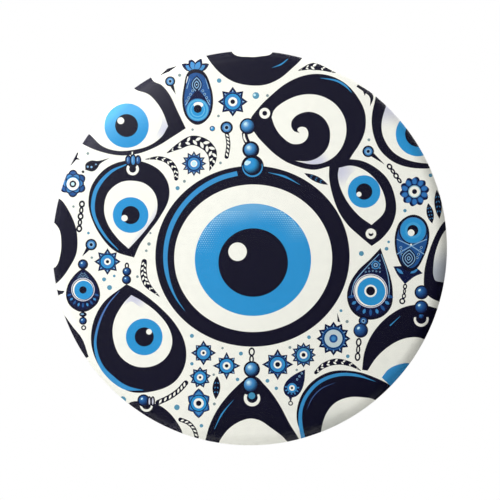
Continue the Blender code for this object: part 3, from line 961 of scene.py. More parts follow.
def paint_right_flower():
    """The ten-petalled flower at the right."""
    x, z, petals = 24.2, 8.3, 10
    paint(placed(lobed(petals, 1.75, 0.45), x, z, 9), NAVY)
    for petal in range(petals):
        turn = 360 / petals * (petal + 0.5)
        at = (x + 1.5 * math.cos(math.radians(turn)), z + 1.5 * math.sin(math.radians(turn)))
        paint(ellipse(*at, 0.52, 0.42, turn), DENIM)
        paint(ellipse(*at, 0.4, 0.3, turn), ink(52, 120, 190))
    discs(x, z, (1.05, NAVY), (0.92, ink(150, 200, 220)), (0.78, PAPER_WHITE), (0.37, INK))


def paint_left_bloom():
    """The bloom at the left, of two rings of six petals."""
    x, z = -26.0, 9.5
    outside = ((30, 1.5, 0.55, NAVY), (30, 1.3, 0.5, DENIM))
    inside = ((0, 1.25, 0.4, NAVY), (0, 1.05, 0.4, CHARM_BLUE))
    for tilt, middle, swing, colour in outside + inside:
        paint(placed(lobed(6, middle, swing), x, z, tilt), colour)
    discs(x, z - 0.05, (1.14, NAVY), (1.02, IRIS))
    discs(x, z - 0.08, (0.93, PAPER_WHITE), (0.52, INK), (0.27, ICE))


def paint_lower_bloom():
    """The six-petalled bloom at the lower left."""
    x, z = -7.5, -22.8
    for share, colour in ((1.0, NAVY), (0.84, DENIM), (0.66, CORNFLOWER)):
        for tilt, size in ((0, 2.2), (57, 1.9), (123, 1.9), (180, 2.2), (237, 1.9), (303, 1.9)):
            petal = placed(leaf(size * 1.15, 1.75), 0.0, size * 0.42, 0.0, share)
            paint(placed(petal, x, z, tilt), colour)
    discs(x, z, (1.25, NAVY), (1.12, IRIS), (0.75, PAPER_WHITE), (0.4, INK))


def paint_small_drop():
    """The leaning drop under the centre, with an eye, a ring of petals and a bead at its foot."""
    paint(placed(drop(2.7, 4.7, 1.5), 6.8, -19.8, -34), NAVY)
    x, z = 6.2, -20.55
    for turn in range(170, 394, 32):
        at = (x + 0.9 * math.cos(math.radians(turn)), z + 0.9 * math.sin(math.radians(turn)))
        paint(placed(leaf(0.36, 0.24), *at, turn - 90), CORNFLOWER)
    discs(x, z, (0.72, CORNFLOWER), (0.6, IRIS), (0.42, PAPER_WHITE), (0.18, INK))
    for step in range(3):
        ring(6.95 + 0.35 * step, -19.3 + 0.45 * step, 0.16, 0.08, PERIWINKLE, NAVY)
    ring(6.0, -22.8, 0.36, 0.2, INK, PAPER_WHITE)
    paint(stroke([(6.0, -21.5), (6.0, -22.5)], [0.8, 0.12]), NAVY)


def paint_charms():
    charm(-11.7, 24.5, 0.75, (-10.9, 22.6), 0.8)
    charm(-3.4, 17.7, 0.92, (-3.35, 16.4), 0.5)
    twist([(-3.35, 16.8), (-3.15, 15.2), (-3.4, 13.4)], 0.62, 6)
    charm(17.4, 14.2, 0.85, (19.8, 12.3), 0.8)
    charm(-23.3, 0.5, 0.85, (-24.6, -1.2), 0.9)
    bud = [
        (-24.15, 11.5, CORNER), (-24.1, 12.35), (-23.3, 12.85), (-22.3, 12.8), (-20.65, 13.2, CORNER),
        (-21.95, 12.4), (-22.5, 11.6), (-23.15, 11.25),
    ]
    paint(smooth(bud), INK)
    for x, z, radius in ((-23.8, 11.95, 0.16), (-23.25, 11.9, 0.17), (-22.6, 12.3, 0.12)):
        dot(x, z, radius, PERIWINKLE)
    dot(-24.5, 11.2, 0.2, INK)


def paint_cords():
    """Plaits, twists, chains and leaves that fill the space between the eyes."""
    plait = [
        (-12.1, 14.0), (-10.5, 14.9), (-8.5, 15.8), (-6.7, 15.3), (-5.6, 14.1), (-5.5, 12.7), (-5.9, 11.4),
    ]
    braid(plait, [0.15, 0.9, 1.4, 1.6, 1.5, 1.0, 0.1], 9)
    braid([(-15.3, 13.05), (-13.4, 13.2), (-11.8, 12.6), (-10.9, 11.3), (-10.8, 10.2)],
          [0.1, 0.6, 0.85, 0.8, 0.6], 7)
    chain((-24.6, 6.9), (-25.1, 2.4), 5, 0.9, 0.24)
    braid([(-15.5, -2.0), (-15.6, -3.7), (-15.1, -5.3), (-13.3, -7.1)],
          [0.8, 1.0, 0.95, 0.1], 7, lean=34.2)
    twist([(-10.2, -25.2), (-9.0, -25.7), (-8.2, -26.6), (-7.8, -27.8)], 0.62, 6)
    braid([(9.7, -18.3), (10.8, -17.3), (12.6, -16.7), (14.6, -17.0), (16.3, -18.0)],
          [0.5, 0.8, 0.95, 0.7, 0.08], 7)
    braid([(7.2, 26.1), (9.4, 26.7), (12.6, 25.8)], [0.15, 1.15, 0.1], 5)
    chain((20.3, 12.3), (22.2, 9.6), 4, 0.8, 0.22)
    ink_leaf((8.0, 11.0), (11.5, 9.3), 0.85, 3)
    ink_leaf((26.2, 6.6), (26.8, 3.6), 1.05, 4)
    ink_leaf((27.5, 8.6), (27.9, 4.3), 1.1, 4)
    ink_leaf((-4.8, -18.8), (-5.0, -22.2), 1.15, 3)
    paint([(12.85, -9.5), (13.3, -10.9), (12.9, -10.8)], INK)
    paint(stroke([(15.8, 23.9), (16.9, 23.2), (17.9, 22.3), (17.7, 20.9)], [0.4, 0.5, 0.6, 0.03]), INK)
    paint([(16.5, 23.4), (17.2, 23.0), (16.9, 22.4)], INK)
    paint(stroke([(-13.2, 25.4), (-12.0, 26.15), (-10.7, 26.8)], [0.03, 0.5, 0.03]), INK)
    paint(stroke([(-26.4, 12.2), (-25.8, 13.2), (-25.2, 14.1)], [0.25, 0.7, 0.05]), INK)
    paint([(-25.6, 13.5), (-24.9, 13.0), (-25.9, 12.9)], INK)


def paint_dots():
    """Loose dots, each (x, z, radius), in teal and in grey-green."""
    teal = [
        (-4.5, 24.6, 0.34), (0.9, 22.4, 0.5), (-10.6, 8.8, 0.31), (-23.7, 2.2, 0.2),
        (-21.4, -4.6, 0.3), (-20.6, -5.8, 0.37), (-19.9, -4.1, 0.2), (-8.5, -12.9, 0.3),
        (-8.5, -17.0, 0.26), (-10.7, -23.4, 0.41), (-7.1, -26.1, 0.27), (-1.3, -15.5, 0.3),
        (-1.8, -19.3, 0.27), (16.4, -0.8, 0.37), (20.1, -0.1, 0.28), (8.7, -13.1, 0.28),
        (14.4, -15.9, 0.28), (2.6, -19.5, 0.29), (3.9, -20.6, 0.26), (22.8, 5.5, 0.26),
        (26.6, 10.7, 0.28), (20.4, 0.9, 0.2), (13.4, -9.2, 0.22),
    ]
    grey = [
        (-10.3, 25.4, 0.24), (-9.6, 9.8, 0.22), (-4.3, 12.5, 0.2), (-8.4, 17.4, 0.18),
        (-4.6, 19.4, 0.2), (2.6, 22.4, 0.22), (17.5, 15.9, 0.22), (-14.8, 0.6, 0.26),
        (-15.2, -0.4, 0.2), (-25.9, 6.1, 0.18), (-23.8, 13.9, 0.22), (-16.5, -4.2, 0.2),
        (-23.2, -1.4, 0.18), (-4.0, -14.7, 0.18), (-5.3, -18.6, 0.18), (-5.2, -22.9, 0.22),
        (6.9, -17.9, 0.18), (5.9, -14.6, 0.22), (14.3, -10.8, 0.24), (-14.6, 2.2, 0.16),
    ]
    for colour, spots in ((TEAL_DOT, teal), (GREY_DOT, grey)):
        for x, z, radius in spots:
            dot(x, z, radius, colour)
    ball(-5.5, 17.55, 0.3, 0.1, PAPER_WHITE, IRIS, IRIS)
    dot(0.7, 22.5, 0.2, ICE)


def paint_artwork():
    for draw in (
        paint_top_crescent, paint_left_band, paint_lower_left_rim, paint_right_band, paint_swirl,
        paint_right_rim_eye, paint_right_drop, paint_upper_left_eye, paint_left_drop, paint_lower_left_drop,
        paint_right_arch, paint_lower_right_arch, paint_bottom_left_hill, paint_centre_eye, paint_hanger,
        paint_bottom_arch, paint_long_amulet_left, paint_long_amulet_right, paint_left_amulet,
        paint_right_amulet, paint_rosettes, paint_right_flower, paint_left_bloom, paint_lower_bloom,
        paint_small_drop, paint_charms, paint_cords, paint_dots,
    ):
        draw()


# The printed paper: one closed sheet whose outer side is cut along every outline of the artwork.

GRID_GAP = 0.62
GRID_MARGIN = 0.3
MERGE_WITHIN = 1e-5
RING_GAP = 1.5
BEND_STEP = math.radians(8)


def bend_rings():
    """Distances along the section where the face's bends need points, without its two ends."""
    rings = []
    start = 0.0
    for length, radius in STRETCHES:
        gap = min(RING_GAP, radius * BEND_STEP)
        steps = math.ceil(length / gap)
        rings += [start + length * (i + 1) / steps for i in range(steps)]
        start += length
    return rings[:-1]


def flat_ring(radius):
    turn = np.arange(PAPER_STEPS) * 2 * math.pi / PAPER_STEPS
    return np.stack([radius * np.cos(turn), radius * np.sin(turn)], 1)


def anticlockwise(outline):
    ahead = np.roll(outline, -1, axis=0)
    doubled = (outline[:, 0] * ahead[:, 1] - ahead[:, 0] * outline[:, 1]).sum()
    return outline if doubled > 0 else outline[::-1]


def loose_grid():
    """Evenly spread points, so that the shades and the dome turn gradually over wide shapes."""
    rows = int(PRINT_END / GRID_GAP)
    spots = np.array([
        ((column + 0.5 * (row % 2)) * GRID_GAP, row * GRID_GAP * ROW_SHARE)
        for row in range(-2 * rows, 2 * rows)
        for column in range(-rows, rows)
    ])
    return spots[np.hypot(spots[:, 0], spots[:, 1]) < PRINT_END - GRID_MARGIN]


def cut_print():
    """The flat print cut into triangles: (points, triangles, topmost outline of each, points of its edge).

    An outline is given by its place in ARTWORK, or -1 for bare paper.
    """
    loops = [flat_ring(PRINT_END)] + [anticlockwise(flat_place(outline)) for outline, _ in ARTWORK]
    points, faces, edges = [], [], []
    for loop in loops:
        faces.append(list(range(len(points), len(points) + len(loop))))
        points.extend(loop)
    for radius in bend_rings():
        first = len(points)
        points.extend(flat_ring(radius))
        edges += [(first + i, first + (i + 1) % PAPER_STEPS) for i in range(PAPER_STEPS)]
    points.extend(loose_grid())
    vectors = [Vector((float(x), float(z))) for x, z in points]
    made = delaunay_2d_cdt(vectors, edges, faces, 0, MERGE_WITHIN, True)
    found, _, triangles, sources, _, covers = made
    place_of = {old: new for new, olds in enumerate(sources) for old in olds}
    border = [place_of[i] for i in range(PAPER_STEPS)]
    kept = [(tuple(t), max(c)) for t, c in zip(triangles, covers) if c]
    flat = np.array([(p.x, p.y) for p in found])
    return flat, [t for t, _ in kept], [top - 1 for _, top in kept], border


def paper_colours(flat, triangles, tops):
    """Linear colours for the corners of every triangle, from the topmost outline over it."""
    seen = seen_place(flat)
    corners = np.array(triangles)
    tops = np.array(tops)
    colours = np.ones((len(corners), 3, 4))
    for top in np.unique(tops):
        rows = tops == top
        where = seen[corners[rows]]
        colour = PAPER_WHITE if top < 0 else ARTWORK[top][1]
        value = colour(where[..., 0], where[..., 1]) if callable(colour) else colour
        colours[rows, :, :3] = value
    return colours


def make_paper():
    paint_artwork()
    flat, triangles, tops, border = cut_print()
    colours = paper_colours(flat, triangles, tops)
    points, normals = laid_on_face(flat, PAPER_DEPTH)
    inner_rings = [0.0] + bend_rings() + [PRINT_END]
    first = len(points)
    inner = np.concatenate([flat_ring(radius) for radius in inner_rings[1:]] + [np.zeros((1, 2))])
    inner_points, inner_normals = laid_on_face(inner, PAPER_DEPTH + PAPER_T)
    # Front-view triangles run anticlockwise in (x, z), which faces -Y once they are on the badge.
    faces = [tuple(int(i) for i in t) for t in triangles]
    middle = first + len(inner) - 1
    steps = PAPER_STEPS
    for i in range(steps):
        after = (i + 1) % steps
        faces.append((middle, first + after, first + i))
        for k in range(len(inner_rings) - 2):
            low, high = first + k * steps, first + (k + 1) * steps
            faces.append((low + i, low + after, high + after, high + i))
        last = first + (len(inner_rings) - 2) * steps
        faces.append((last + i, last + after, border[after], border[i]))
    mesh = bpy.data.meshes.new("printed_paper_art")
    mesh.from_pydata((np.concatenate([points, inner_points]) * MM).tolist(), [], faces)
    inks = mesh.color_attributes.new("ink", "FLOAT_COLOR", "CORNER")
    values = np.ones((len(mesh.loops), 4), np.float32)
    values[:, :3] = PAPER_WHITE
    values[: colours.size // 4] = colours.reshape(-1, 4)
    inks.data.foreach_set("color", values.ravel())
    mesh.shade_smooth()
    mesh.normals_split_custom_set_from_vertices(np.concatenate([normals, -inner_normals]).tolist())
    return link("printed_paper_art", mesh)


# Solid pieces. Turned pieces are drawn as (across, up) outlines about Z and laid over to face -Y.

PLATE_T = 0.28
LAND_R = 5.0
LAND_RISE = 0.3
FLOOR_R = 21.5
SHOULDER_RISE = 1.6
SHOULDER_SLOPE = 2.6
SHOULDER_TURN = 0.6
COLLAR_WALL_R = 25.9
FLARE_R = 27.5
FLARE_TURN = 0.5
LAND_BEND = 0.4

PIN_Z = 9.0
PIN_DEPTH = 2.7
BASE_LENGTH = 33.0
BASE_WIDTH = 4.4
BASE_T = 0.5
BASE_CORNER = 0.8
LAY_GAP = 0.05
BASE_Y = LAY_GAP - LAND_RISE
BASE_TOP_Y = BASE_Y + BASE_T

HINGE_X = -14.0
EAR_T = 0.5
EAR_R = 1.4
EAR_FOOT = 3.4
EAR_LAP = 0.02
EAR_BORE_R = 0.66
HINGE_SHANK_R = 0.6
HINGE_HEAD_R = 1.1
HINGE_HEAD_T = 0.45
KNUCKLE_R = 1.15
KNUCKLE_BORE_R = 0.68
KNUCKLE_LENGTH = 3.0
STEM_R = 0.4
TIP_X = 16.0
TIP_LENGTH = 4.5
TIP_STEPS = 16

CATCH_X = 13.8
CHEEK_GAP = 2.4
CHEEK_T = 0.5
CHEEK_R = 2.1
CHEEK_FOOT = 4.3
CHEEK_BORE_R = 1.34
CHEEK_SLOT = 1.5
COLLAR_WIDTH = 2.0
COLLAR_R = 2.2
COLLAR_CHAMFER = 0.2
HUB_R = 1.25
HUB_OVERHANG = 0.3
ROLLER_HOLE_R = 0.65
TAB_REACH = 3.4
TAB_WIDTH = 1.6
TAB_T = 0.9

RIVET_X = 7.5
RIVET_SHANK_R = 0.8
RIVET_HOLE_R = 0.92
DRILL_LENGTH = 3.0
RIVET_HEAD_R = 1.5
RIVET_HEAD_T = 0.5
UPSET_R = 1.3
UPSET_T = 0.4

SMALL_STEPS = 72
BEVEL = 0.07

FACING = (90.0, 0.0, 0.0)
ALONG_X = (0.0, 90.0, 0.0)
CROSSWISE = (0.0, -90.0, 0.0)
CROSSWISE_DOWN = (-90.0, 0.0, 90.0)


def link(name, mesh):
    made = bpy.data.objects.new(name, mesh)
    bpy.context.scene.collection.objects.link(made)
    return made


def turned(name, outline, steps=SMALL_STEPS):
    """A piece turned about Z from a closed outline, or from one that starts and ends on the axis."""
    mesh = bpy.data.meshes.new(name)
    count = len(outline)
    on_axis = [abs(across) < 1e-9 for across, _ in outline]
    closed = not (on_axis[0] and on_axis[-1])
    points, place = [], []
    for (across, up), middle in zip(outline, on_axis):
        place.append(len(points))
        for i in range(1 if middle else steps):
            turn = 2 * math.pi * i / steps
            points.append((across * math.cos(turn) * MM, across * math.sin(turn) * MM, up * MM))
    faces = []
    for k in range(count if closed else count - 1):
        j = (k + 1) % count
        for i in range(steps):
            a, b = (0, 0) if on_axis[k] else (i, (i + 1) % steps)
            c, d = (0, 0) if on_axis[j] else (i, (i + 1) % steps)
            loop = [place[k] + a, place[j] + c, place[j] + d, place[k] + b]
            loop = [v for n, v in enumerate(loop) if v not in loop[:n]]
            if len(loop) > 2:
                faces.append(loop)
    mesh.from_pydata(points, [], faces)
    return link(name, mesh)


def arc(centre, radius, start, end, steps):
    """Points round a centre; angles are in degrees from straight up, turning outwards."""
    turns = [math.radians(start + (end - start) * i / steps) for i in range(steps + 1)]
    return [(centre[0] + radius * math.sin(a), centre[1] + radius * math.cos(a)) for a in turns]


def prism(name, outline, thickness):
    """A flat plate of an outline in XY, centred on its own thickness along Z."""
    count = len(outline)
    points = [(x * MM, y * MM, side * thickness * MM / 2) for side in (-1, 1) for x, y in outline]
    ahead = outline[1:] + outline[:1]
    doubled = sum(a[0] * b[1] - b[0] * a[1] for a, b in zip(outline, ahead))
    low, high = list(range(count)), list(range(count, 2 * count))
    walls = [(i, (i + 1) % count, count + (i + 1) % count, count + i) for i in range(count)]
    faces = [low[::-1], high] + walls
    if doubled < 0:
        faces = [tuple(face)[::-1] for face in faces]
    mesh = bpy.data.meshes.new(name)
    mesh.from_pydata(points, [], faces)
    return link(name, mesh)


def place(made, x=0.0, y=0.0, z=0.0, turn=(0.0, 0.0, 0.0)):
    made.location = (x * MM, y * MM, z * MM)
    made.rotation_euler = [math.radians(a) for a in turn]
    return made


def combine(made, other, operation):
    step = made.modifiers.new(operation.lower(), "BOOLEAN")
    step.operation = operation
    step.object = other
    return made


def finished(made, sharp=32.0, bevel=0.0):
    """Applies a piece's place and modifiers, removes its cutters, and smooths it between hard edges."""
    if bevel:
        edge = made.modifiers.new("edge", "BEVEL")
        edge.width = bevel * MM
        edge.segments = 3
        edge.limit_method = "ANGLE"
        edge.angle_limit = math.radians(40)
        edge.use_clamp_overlap = True
    bpy.context.view_layer.update()
    cutters = [step.object for step in made.modifiers if step.type == "BOOLEAN"]
    graph = bpy.context.evaluated_depsgraph_get()
    mesh = bpy.data.meshes.new_from_object(made.evaluated_get(graph))
    mesh.transform(made.matrix_world)
    made.modifiers.clear()
    made.data = mesh
    made.matrix_world = Matrix.Identity(4)
    for cutter in cutters:
        bpy.data.objects.remove(cutter)
    mesh.shade_smooth()
    mesh.set_sharp_from_angle(angle=math.radians(sharp))
    return made


def layer_outline(outer, inner):
    """A closed section of one layer of the face, from its outer to its inner depth."""
    along = [0.0] + bend_rings() + [PRINT_END]
    across, up, lean = section(along)
    sides = []
    for depth in (outer, inner):
        reach = across - depth * np.sin(lean)
        rise = up - depth * np.cos(lean)
        sides.append([(float(a), float(u)) for a, u in zip(reach, rise)])
    return sides[0] + sides[1][::-1]


def make_layer(name, outer, inner):
    made = turned(name, layer_outline(outer, inner), ROUND_STEPS)
    return finished(place(made, turn=FACING), 60.0)


def filleted(corners, steps=6):
    """A line through (across, up, bend radius) corners with each bend rounded."""
    line = [corners[0][:2]]
    for before, at, after in zip(corners, corners[1:], corners[2:]):
        point, radius = np.array(at[:2]), at[2]
        back = np.array(before[:2]) - point
        ahead = np.array(after[:2]) - point
        back /= np.linalg.norm(back)
        ahead /= np.linalg.norm(ahead)
        half = math.acos(float(back @ ahead)) / 2
        middle = (back + ahead) / np.linalg.norm(back + ahead)
        centre = point + middle * radius / math.sin(half)
        start = centre - point - back * radius / math.tan(half)
        spread = math.pi - 2 * half
        turn = math.copysign(spread, float(back[1] * ahead[0] - back[0] * ahead[1]))
        for i in range(steps + 1):
            angle = turn * i / steps
            arm = -start
            turned_arm = (
                arm[0] * math.cos(angle) - arm[1] * math.sin(angle),
                arm[0] * math.sin(angle) + arm[1] * math.cos(angle),
            )
            line.append((centre[0] + turned_arm[0], centre[1] + turned_arm[1]))
    return line + [corners[-1][:2]]


def thickened(line, thickness):
    """A closed section: the line, and the same line moved aside by the thickness."""
    points = np.array(line)
    steps = np.diff(points, axis=0)
    steps /= np.linalg.norm(steps, axis=1)[:, None]
    sides = np.stack([steps[:, 1], -steps[:, 0]], 1)
    first, last = sides[:1], sides[-1:]
    mitre = np.concatenate([first, sides[:-1] + sides[1:], last])
    mitre[1:-1] /= (1 + (sides[:-1] * sides[1:]).sum(1))[:, None]
    return line + [tuple(p) for p in (points + mitre * thickness)[::-1]]


def plate_rear():
    """The back plate's rear side, from its flared edge down the collar and in to the land."""
    shoulder = LAND_RISE - SHOULDER_RISE
    return filleted([
        (FLARE_R, FLARE_TURN, 0.0),
        (COLLAR_WALL_R, FLARE_TURN, FLARE_TURN),
        (COLLAR_WALL_R, shoulder, SHOULDER_TURN),
        (FLOOR_R + SHOULDER_SLOPE, shoulder, SHOULDER_TURN),
        (FLOOR_R, LAND_RISE, SHOULDER_TURN),
        (LAND_R + LAND_RISE, LAND_RISE, LAND_BEND),
        (LAND_R, 0.0, LAND_BEND),
        (0.0, 0.0, 0.0),
    ])


def drill_for_rivets(made):
    """Cuts the two rivet holes through the back plate or the pin base."""
    for x in (-RIVET_X, RIVET_X):
        drill = turned("drill", cylinder_outline(RIVET_HOLE_R, DRILL_LENGTH))
        combine(made, place(drill, x, -LAND_RISE, PIN_Z, FACING), "DIFFERENCE")
    return made


def make_back_plate():
    plate = turned("back_plate_pressed", thickened(plate_rear(), PLATE_T), ROUND_STEPS)
    return finished(drill_for_rivets(place(plate, turn=FACING)))


def rounded_plate(length, width, corner):
    points = []
    for turn, x_side, y_side in ((0, 1, 1), (90, 1, -1), (180, -1, -1), (270, -1, 1)):
        centre = (x_side * (length / 2 - corner), y_side * (width / 2 - corner))
        points += arc(centre, corner, turn, turn + 90.0, 8)
    return points


def arched_plate(foot_width, foot, top_r):
    """A plate standing on a foot line, with a half-round top about (0, 0)."""
    return [(foot_width / 2, foot)] + arc((0.0, 0.0), top_r, 90.0, -90.0, 28) + [(-foot_width / 2, foot)]


def keyhole(radius, slot, reach, steps):
    """A round hole about (0, 0) with a straight slot that runs up out of it."""
    open_at = math.degrees(math.asin(slot / 2 / radius)) if slot < 2 * radius else 90.0
    hole = arc((0.0, 0.0), radius, open_at, 360.0 - open_at, steps)
    return hole + [(-slot / 2, reach), (slot / 2, reach)]


def cylinder_outline(radius, length):
    return [(0.0, length / 2), (radius, length / 2), (radius, -length / 2), (0.0, -length / 2)]


def make_pin_base():
    """The strip with its hinge ears and catch cheeks, cut for the rivets, the hinge and the roller."""
    strip = prism("pin_base_strip", rounded_plate(BASE_LENGTH, BASE_WIDTH, BASE_CORNER), BASE_T)
    place(strip, 0.0, BASE_Y + BASE_T / 2, PIN_Z, FACING)
    foot = BASE_Y + BASE_T / 2 - PIN_DEPTH
    for sign in (1, -1):
        ear = prism("ear", arched_plate(EAR_FOOT, foot, EAR_R), EAR_T)
        place(ear, HINGE_X, PIN_DEPTH, PIN_Z + sign * (BASE_WIDTH / 2 - EAR_LAP - EAR_T / 2))
        combine(strip, ear, "UNION")
        cheek = prism("cheek", arched_plate(CHEEK_FOOT, foot, CHEEK_R), CHEEK_T)
        place(cheek, CATCH_X + sign * (CHEEK_GAP + CHEEK_T) / 2, PIN_DEPTH, PIN_Z, CROSSWISE)
        combine(strip, cheek, "UNION")
    bore = turned("ear_bore", cylinder_outline(EAR_BORE_R, 2 * BASE_WIDTH))
    combine(strip, place(bore, HINGE_X, PIN_DEPTH, PIN_Z), "DIFFERENCE")
    seat = prism("roller_seat", keyhole(CHEEK_BORE_R, CHEEK_SLOT, 2 * CHEEK_R, 48), 3 * CHEEK_GAP)
    combine(strip, place(seat, CATCH_X, PIN_DEPTH, PIN_Z, CROSSWISE), "DIFFERENCE")
    return finished(drill_for_rivets(strip), bevel=BEVEL)


def make_rivet(name, x):
    """An upset head inside the badge, a shank through plate and base, and a domed head behind them."""
    inside = PLATE_T + LAND_RISE + 2 * LAY_GAP
    behind = -(BASE_TOP_Y + LAY_GAP)
    dome_r = (RIVET_HEAD_R**2 + RIVET_HEAD_T**2) / (2 * RIVET_HEAD_T)
    spread = math.degrees(math.asin(RIVET_HEAD_R / dome_r))
    round_r = UPSET_T / 2
    outline = (
        [(0.0, inside + UPSET_T)]
        + arc((UPSET_R - round_r, inside + round_r), round_r, 0.0, 90.0, 6)
        + [(UPSET_R, inside), (RIVET_SHANK_R, inside), (RIVET_SHANK_R, behind)]
        + arc((0.0, behind - RIVET_HEAD_T + dome_r), dome_r, 180.0 - spread, 180.0, 14)[:-1]
        + [(0.0, behind - RIVET_HEAD_T)]
    )
    return finished(place(turned(name, outline), x, 0.0, PIN_Z, FACING))


def make_hinge_rivet():
    """A pin along Z whose two rounded heads stand just clear of the ears."""
    seat = BASE_WIDTH / 2 + LAY_GAP
    top = seat + HINGE_HEAD_T
    round_r = HINGE_HEAD_T / 2
    upper = [(0.0, top)] + arc((HINGE_HEAD_R - round_r, top - round_r), round_r, 0.0, 90.0, 6)
    upper += [(HINGE_HEAD_R, seat), (HINGE_SHANK_R, seat)]
    outline = upper + [(across, -up) for across, up in upper[::-1]]
    return finished(place(turned("hinge_rivet_turned", outline), HINGE_X, PIN_DEPTH, PIN_Z))


def stem_outline(start, end):
    """The wire from its bend at the hinge to its ground point."""
    ground = []
    for i in range(TIP_STEPS):
        share = i / TIP_STEPS
        radius = STEM_R * math.sqrt(1 - 0.96 * share * share) * (1 - 0.75 * share)
        ground.append((radius, end - TIP_LENGTH * (1 - share)))
    return [(0.0, start), (STEM_R, start)] + ground + [(0.0, end)]


def make_pin_stem():
    """The knuckle about the hinge and the sharpened wire that runs along X from it."""
    stem = turned("pin_stem_wire", cylinder_outline(KNUCKLE_R, KNUCKLE_LENGTH))
    place(stem, HINGE_X, PIN_DEPTH, PIN_Z)
    start = (KNUCKLE_BORE_R + KNUCKLE_R) / 2
    wire = turned("wire", stem_outline(start, TIP_X - HINGE_X)[::-1], 40)
    combine(stem, place(wire, HINGE_X, PIN_DEPTH, PIN_Z, ALONG_X), "UNION")
    bore = turned("knuckle_bore", cylinder_outline(KNUCKLE_BORE_R, 2 * KNUCKLE_LENGTH))
    combine(stem, place(bore, HINGE_X, PIN_DEPTH, PIN_Z), "DIFFERENCE")
    return finished(stem, bevel=BEVEL)


def make_catch_roller():
    """A spool on the catch's axis with a thumb tab that hangs down and a slot open to the rear."""
    collar = COLLAR_WIDTH / 2
    hub = CHEEK_GAP / 2 + CHEEK_T + HUB_OVERHANG
    upper = [(0.0, hub), (HUB_R, hub), (HUB_R, collar), (COLLAR_R - COLLAR_CHAMFER, collar)]
    upper += [(COLLAR_R, collar - COLLAR_CHAMFER)]
    outline = upper + [(across, -up) for across, up in upper[::-1]]
    roller = place(turned("catch_roller_spool", outline), CATCH_X, PIN_DEPTH, PIN_Z, ALONG_X)
    drop_below = TAB_REACH - TAB_WIDTH / 2
    tab = prism("thumb_tab", arched_plate(TAB_WIDTH, -drop_below, TAB_WIDTH / 2), TAB_T)
    combine(roller, place(tab, CATCH_X, PIN_DEPTH, PIN_Z - drop_below, CROSSWISE_DOWN), "UNION")
    slot = prism("stem_slot", keyhole(ROLLER_HOLE_R, 2 * ROLLER_HOLE_R, 2 * COLLAR_R, 32), 4 * hub)
    combine(roller, place(slot, CATCH_X, PIN_DEPTH, PIN_Z, CROSSWISE), "DIFFERENCE")
    return finished(roller, bevel=BEVEL * 0.7)


# Materials.


def new_material(name):
    """An empty node material: (material, nodes, links, output node)."""
    made = bpy.data.materials.new(name)
    made.use_nodes = True
    tree = made.node_tree
    tree.nodes.clear()
    return made, tree.nodes, tree.links, tree.nodes.new("ShaderNodeOutputMaterial")


def noise(nodes, links, source, scale, detail=3.0, stretch=None):
    """Noise on object coordinates, which may be stretched along an axis."""
    if stretch:
        mapping = nodes.new("ShaderNodeMapping")
        mapping.inputs["Scale"].default_value = stretch
        links.new(source, mapping.inputs["Vector"])
        source = mapping.outputs["Vector"]
    made = nodes.new("ShaderNodeTexNoise")
    made.inputs["Scale"].default_value = scale
    made.inputs["Detail"].default_value = detail
    links.new(source, made.inputs["Vector"])
    return made.outputs["Fac"]


def ranged(nodes, links, source, low, high, start=0.0, end=1.0):
    made = nodes.new("ShaderNodeMapRange")
    for name, value in (("From Min", start), ("From Max", end), ("To Min", low), ("To Max", high)):
        made.inputs[name].default_value = value
    links.new(source, made.inputs["Value"])
    return made.outputs["Result"]


def bump(nodes, links, height, strength, distance, normal=None):
    made = nodes.new("ShaderNodeBump")
    made.inputs["Strength"].default_value = strength
    made.inputs["Distance"].default_value = distance
    links.new(height, made.inputs["Height"])
    if normal:
        links.new(normal, made.inputs["Normal"])
    return made.outputs["Normal"]


def ramp(nodes, links, source, start, end):
    """Colour that runs between two stops, each (place, colour)."""
    made = nodes.new("ShaderNodeValToRGB")
    for stop, (at, colour) in zip(made.color_ramp.elements, (start, end)):
        stop.position = at
        stop.color = (*colour, 1.0)
    links.new(source, made.inputs["Fac"])
    return made.outputs["Color"]


def object_place(nodes):
    return nodes.new("ShaderNodeTexCoord").outputs["Object"]


# The materials' patterns. Scales are repeats per metre; bump distances are in metres.
FIBRE_SCALE = 900.0
GRAIN_SCALE = 5200.0
FIBRE_SHADE = (0.955, 0.957, 0.96)
FULL_WHITE = (1.0, 1.0, 1.0)
FILM_SHINE = 0.0075
FILM_EDGE_SHINE = 0.02
FILM_IOR = 1.38
ORANGE_PEEL_SCALE = 420.0
SCUFF_SCALE = 260.0
SCUFF_STRETCH = (1.0, 1.0, 9.0)
SMUDGE_SCALE = 110.0
FLOOR_SCALE = 30.0
FLOOR_SHADE = (0.80, 0.80, 0.79)
FLOOR_PALE = (0.86, 0.86, 0.85)


def print_material():
    """Printed ink on coated paper: the artwork's colours, with a faint fibre mottle and grain."""
    made, nodes, links, output = new_material("printed_paper_ink")
    shader = nodes.new("ShaderNodeBsdfPrincipled")
    colour = nodes.new("ShaderNodeVertexColor")
    colour.layer_name = "ink"
    where = object_place(nodes)
    mottle = noise(nodes, links, where, FIBRE_SCALE, 4.0)
    tone = nodes.new("ShaderNodeMixRGB")
    tone.blend_type = "MULTIPLY"
    tone.inputs["Fac"].default_value = 1.0
    links.new(colour.outputs["Color"], tone.inputs["Color1"])
    links.new(ramp(nodes, links, mottle, (0.3, FIBRE_SHADE), (0.7, FULL_WHITE)), tone.inputs["Color2"])
    links.new(tone.outputs["Color"], shader.inputs["Base Color"])
    grain = noise(nodes, links, where, GRAIN_SCALE, 2.0)
    links.new(ranged(nodes, links, grain, 0.5, 0.7), shader.inputs["Roughness"])
    links.new(bump(nodes, links, grain, 0.12, 0.00001), shader.inputs["Normal"])
    shader.inputs["Specular IOR Level"].default_value = 0.0
    links.new(shader.outputs["BSDF"], output.inputs["Surface"])
    return made


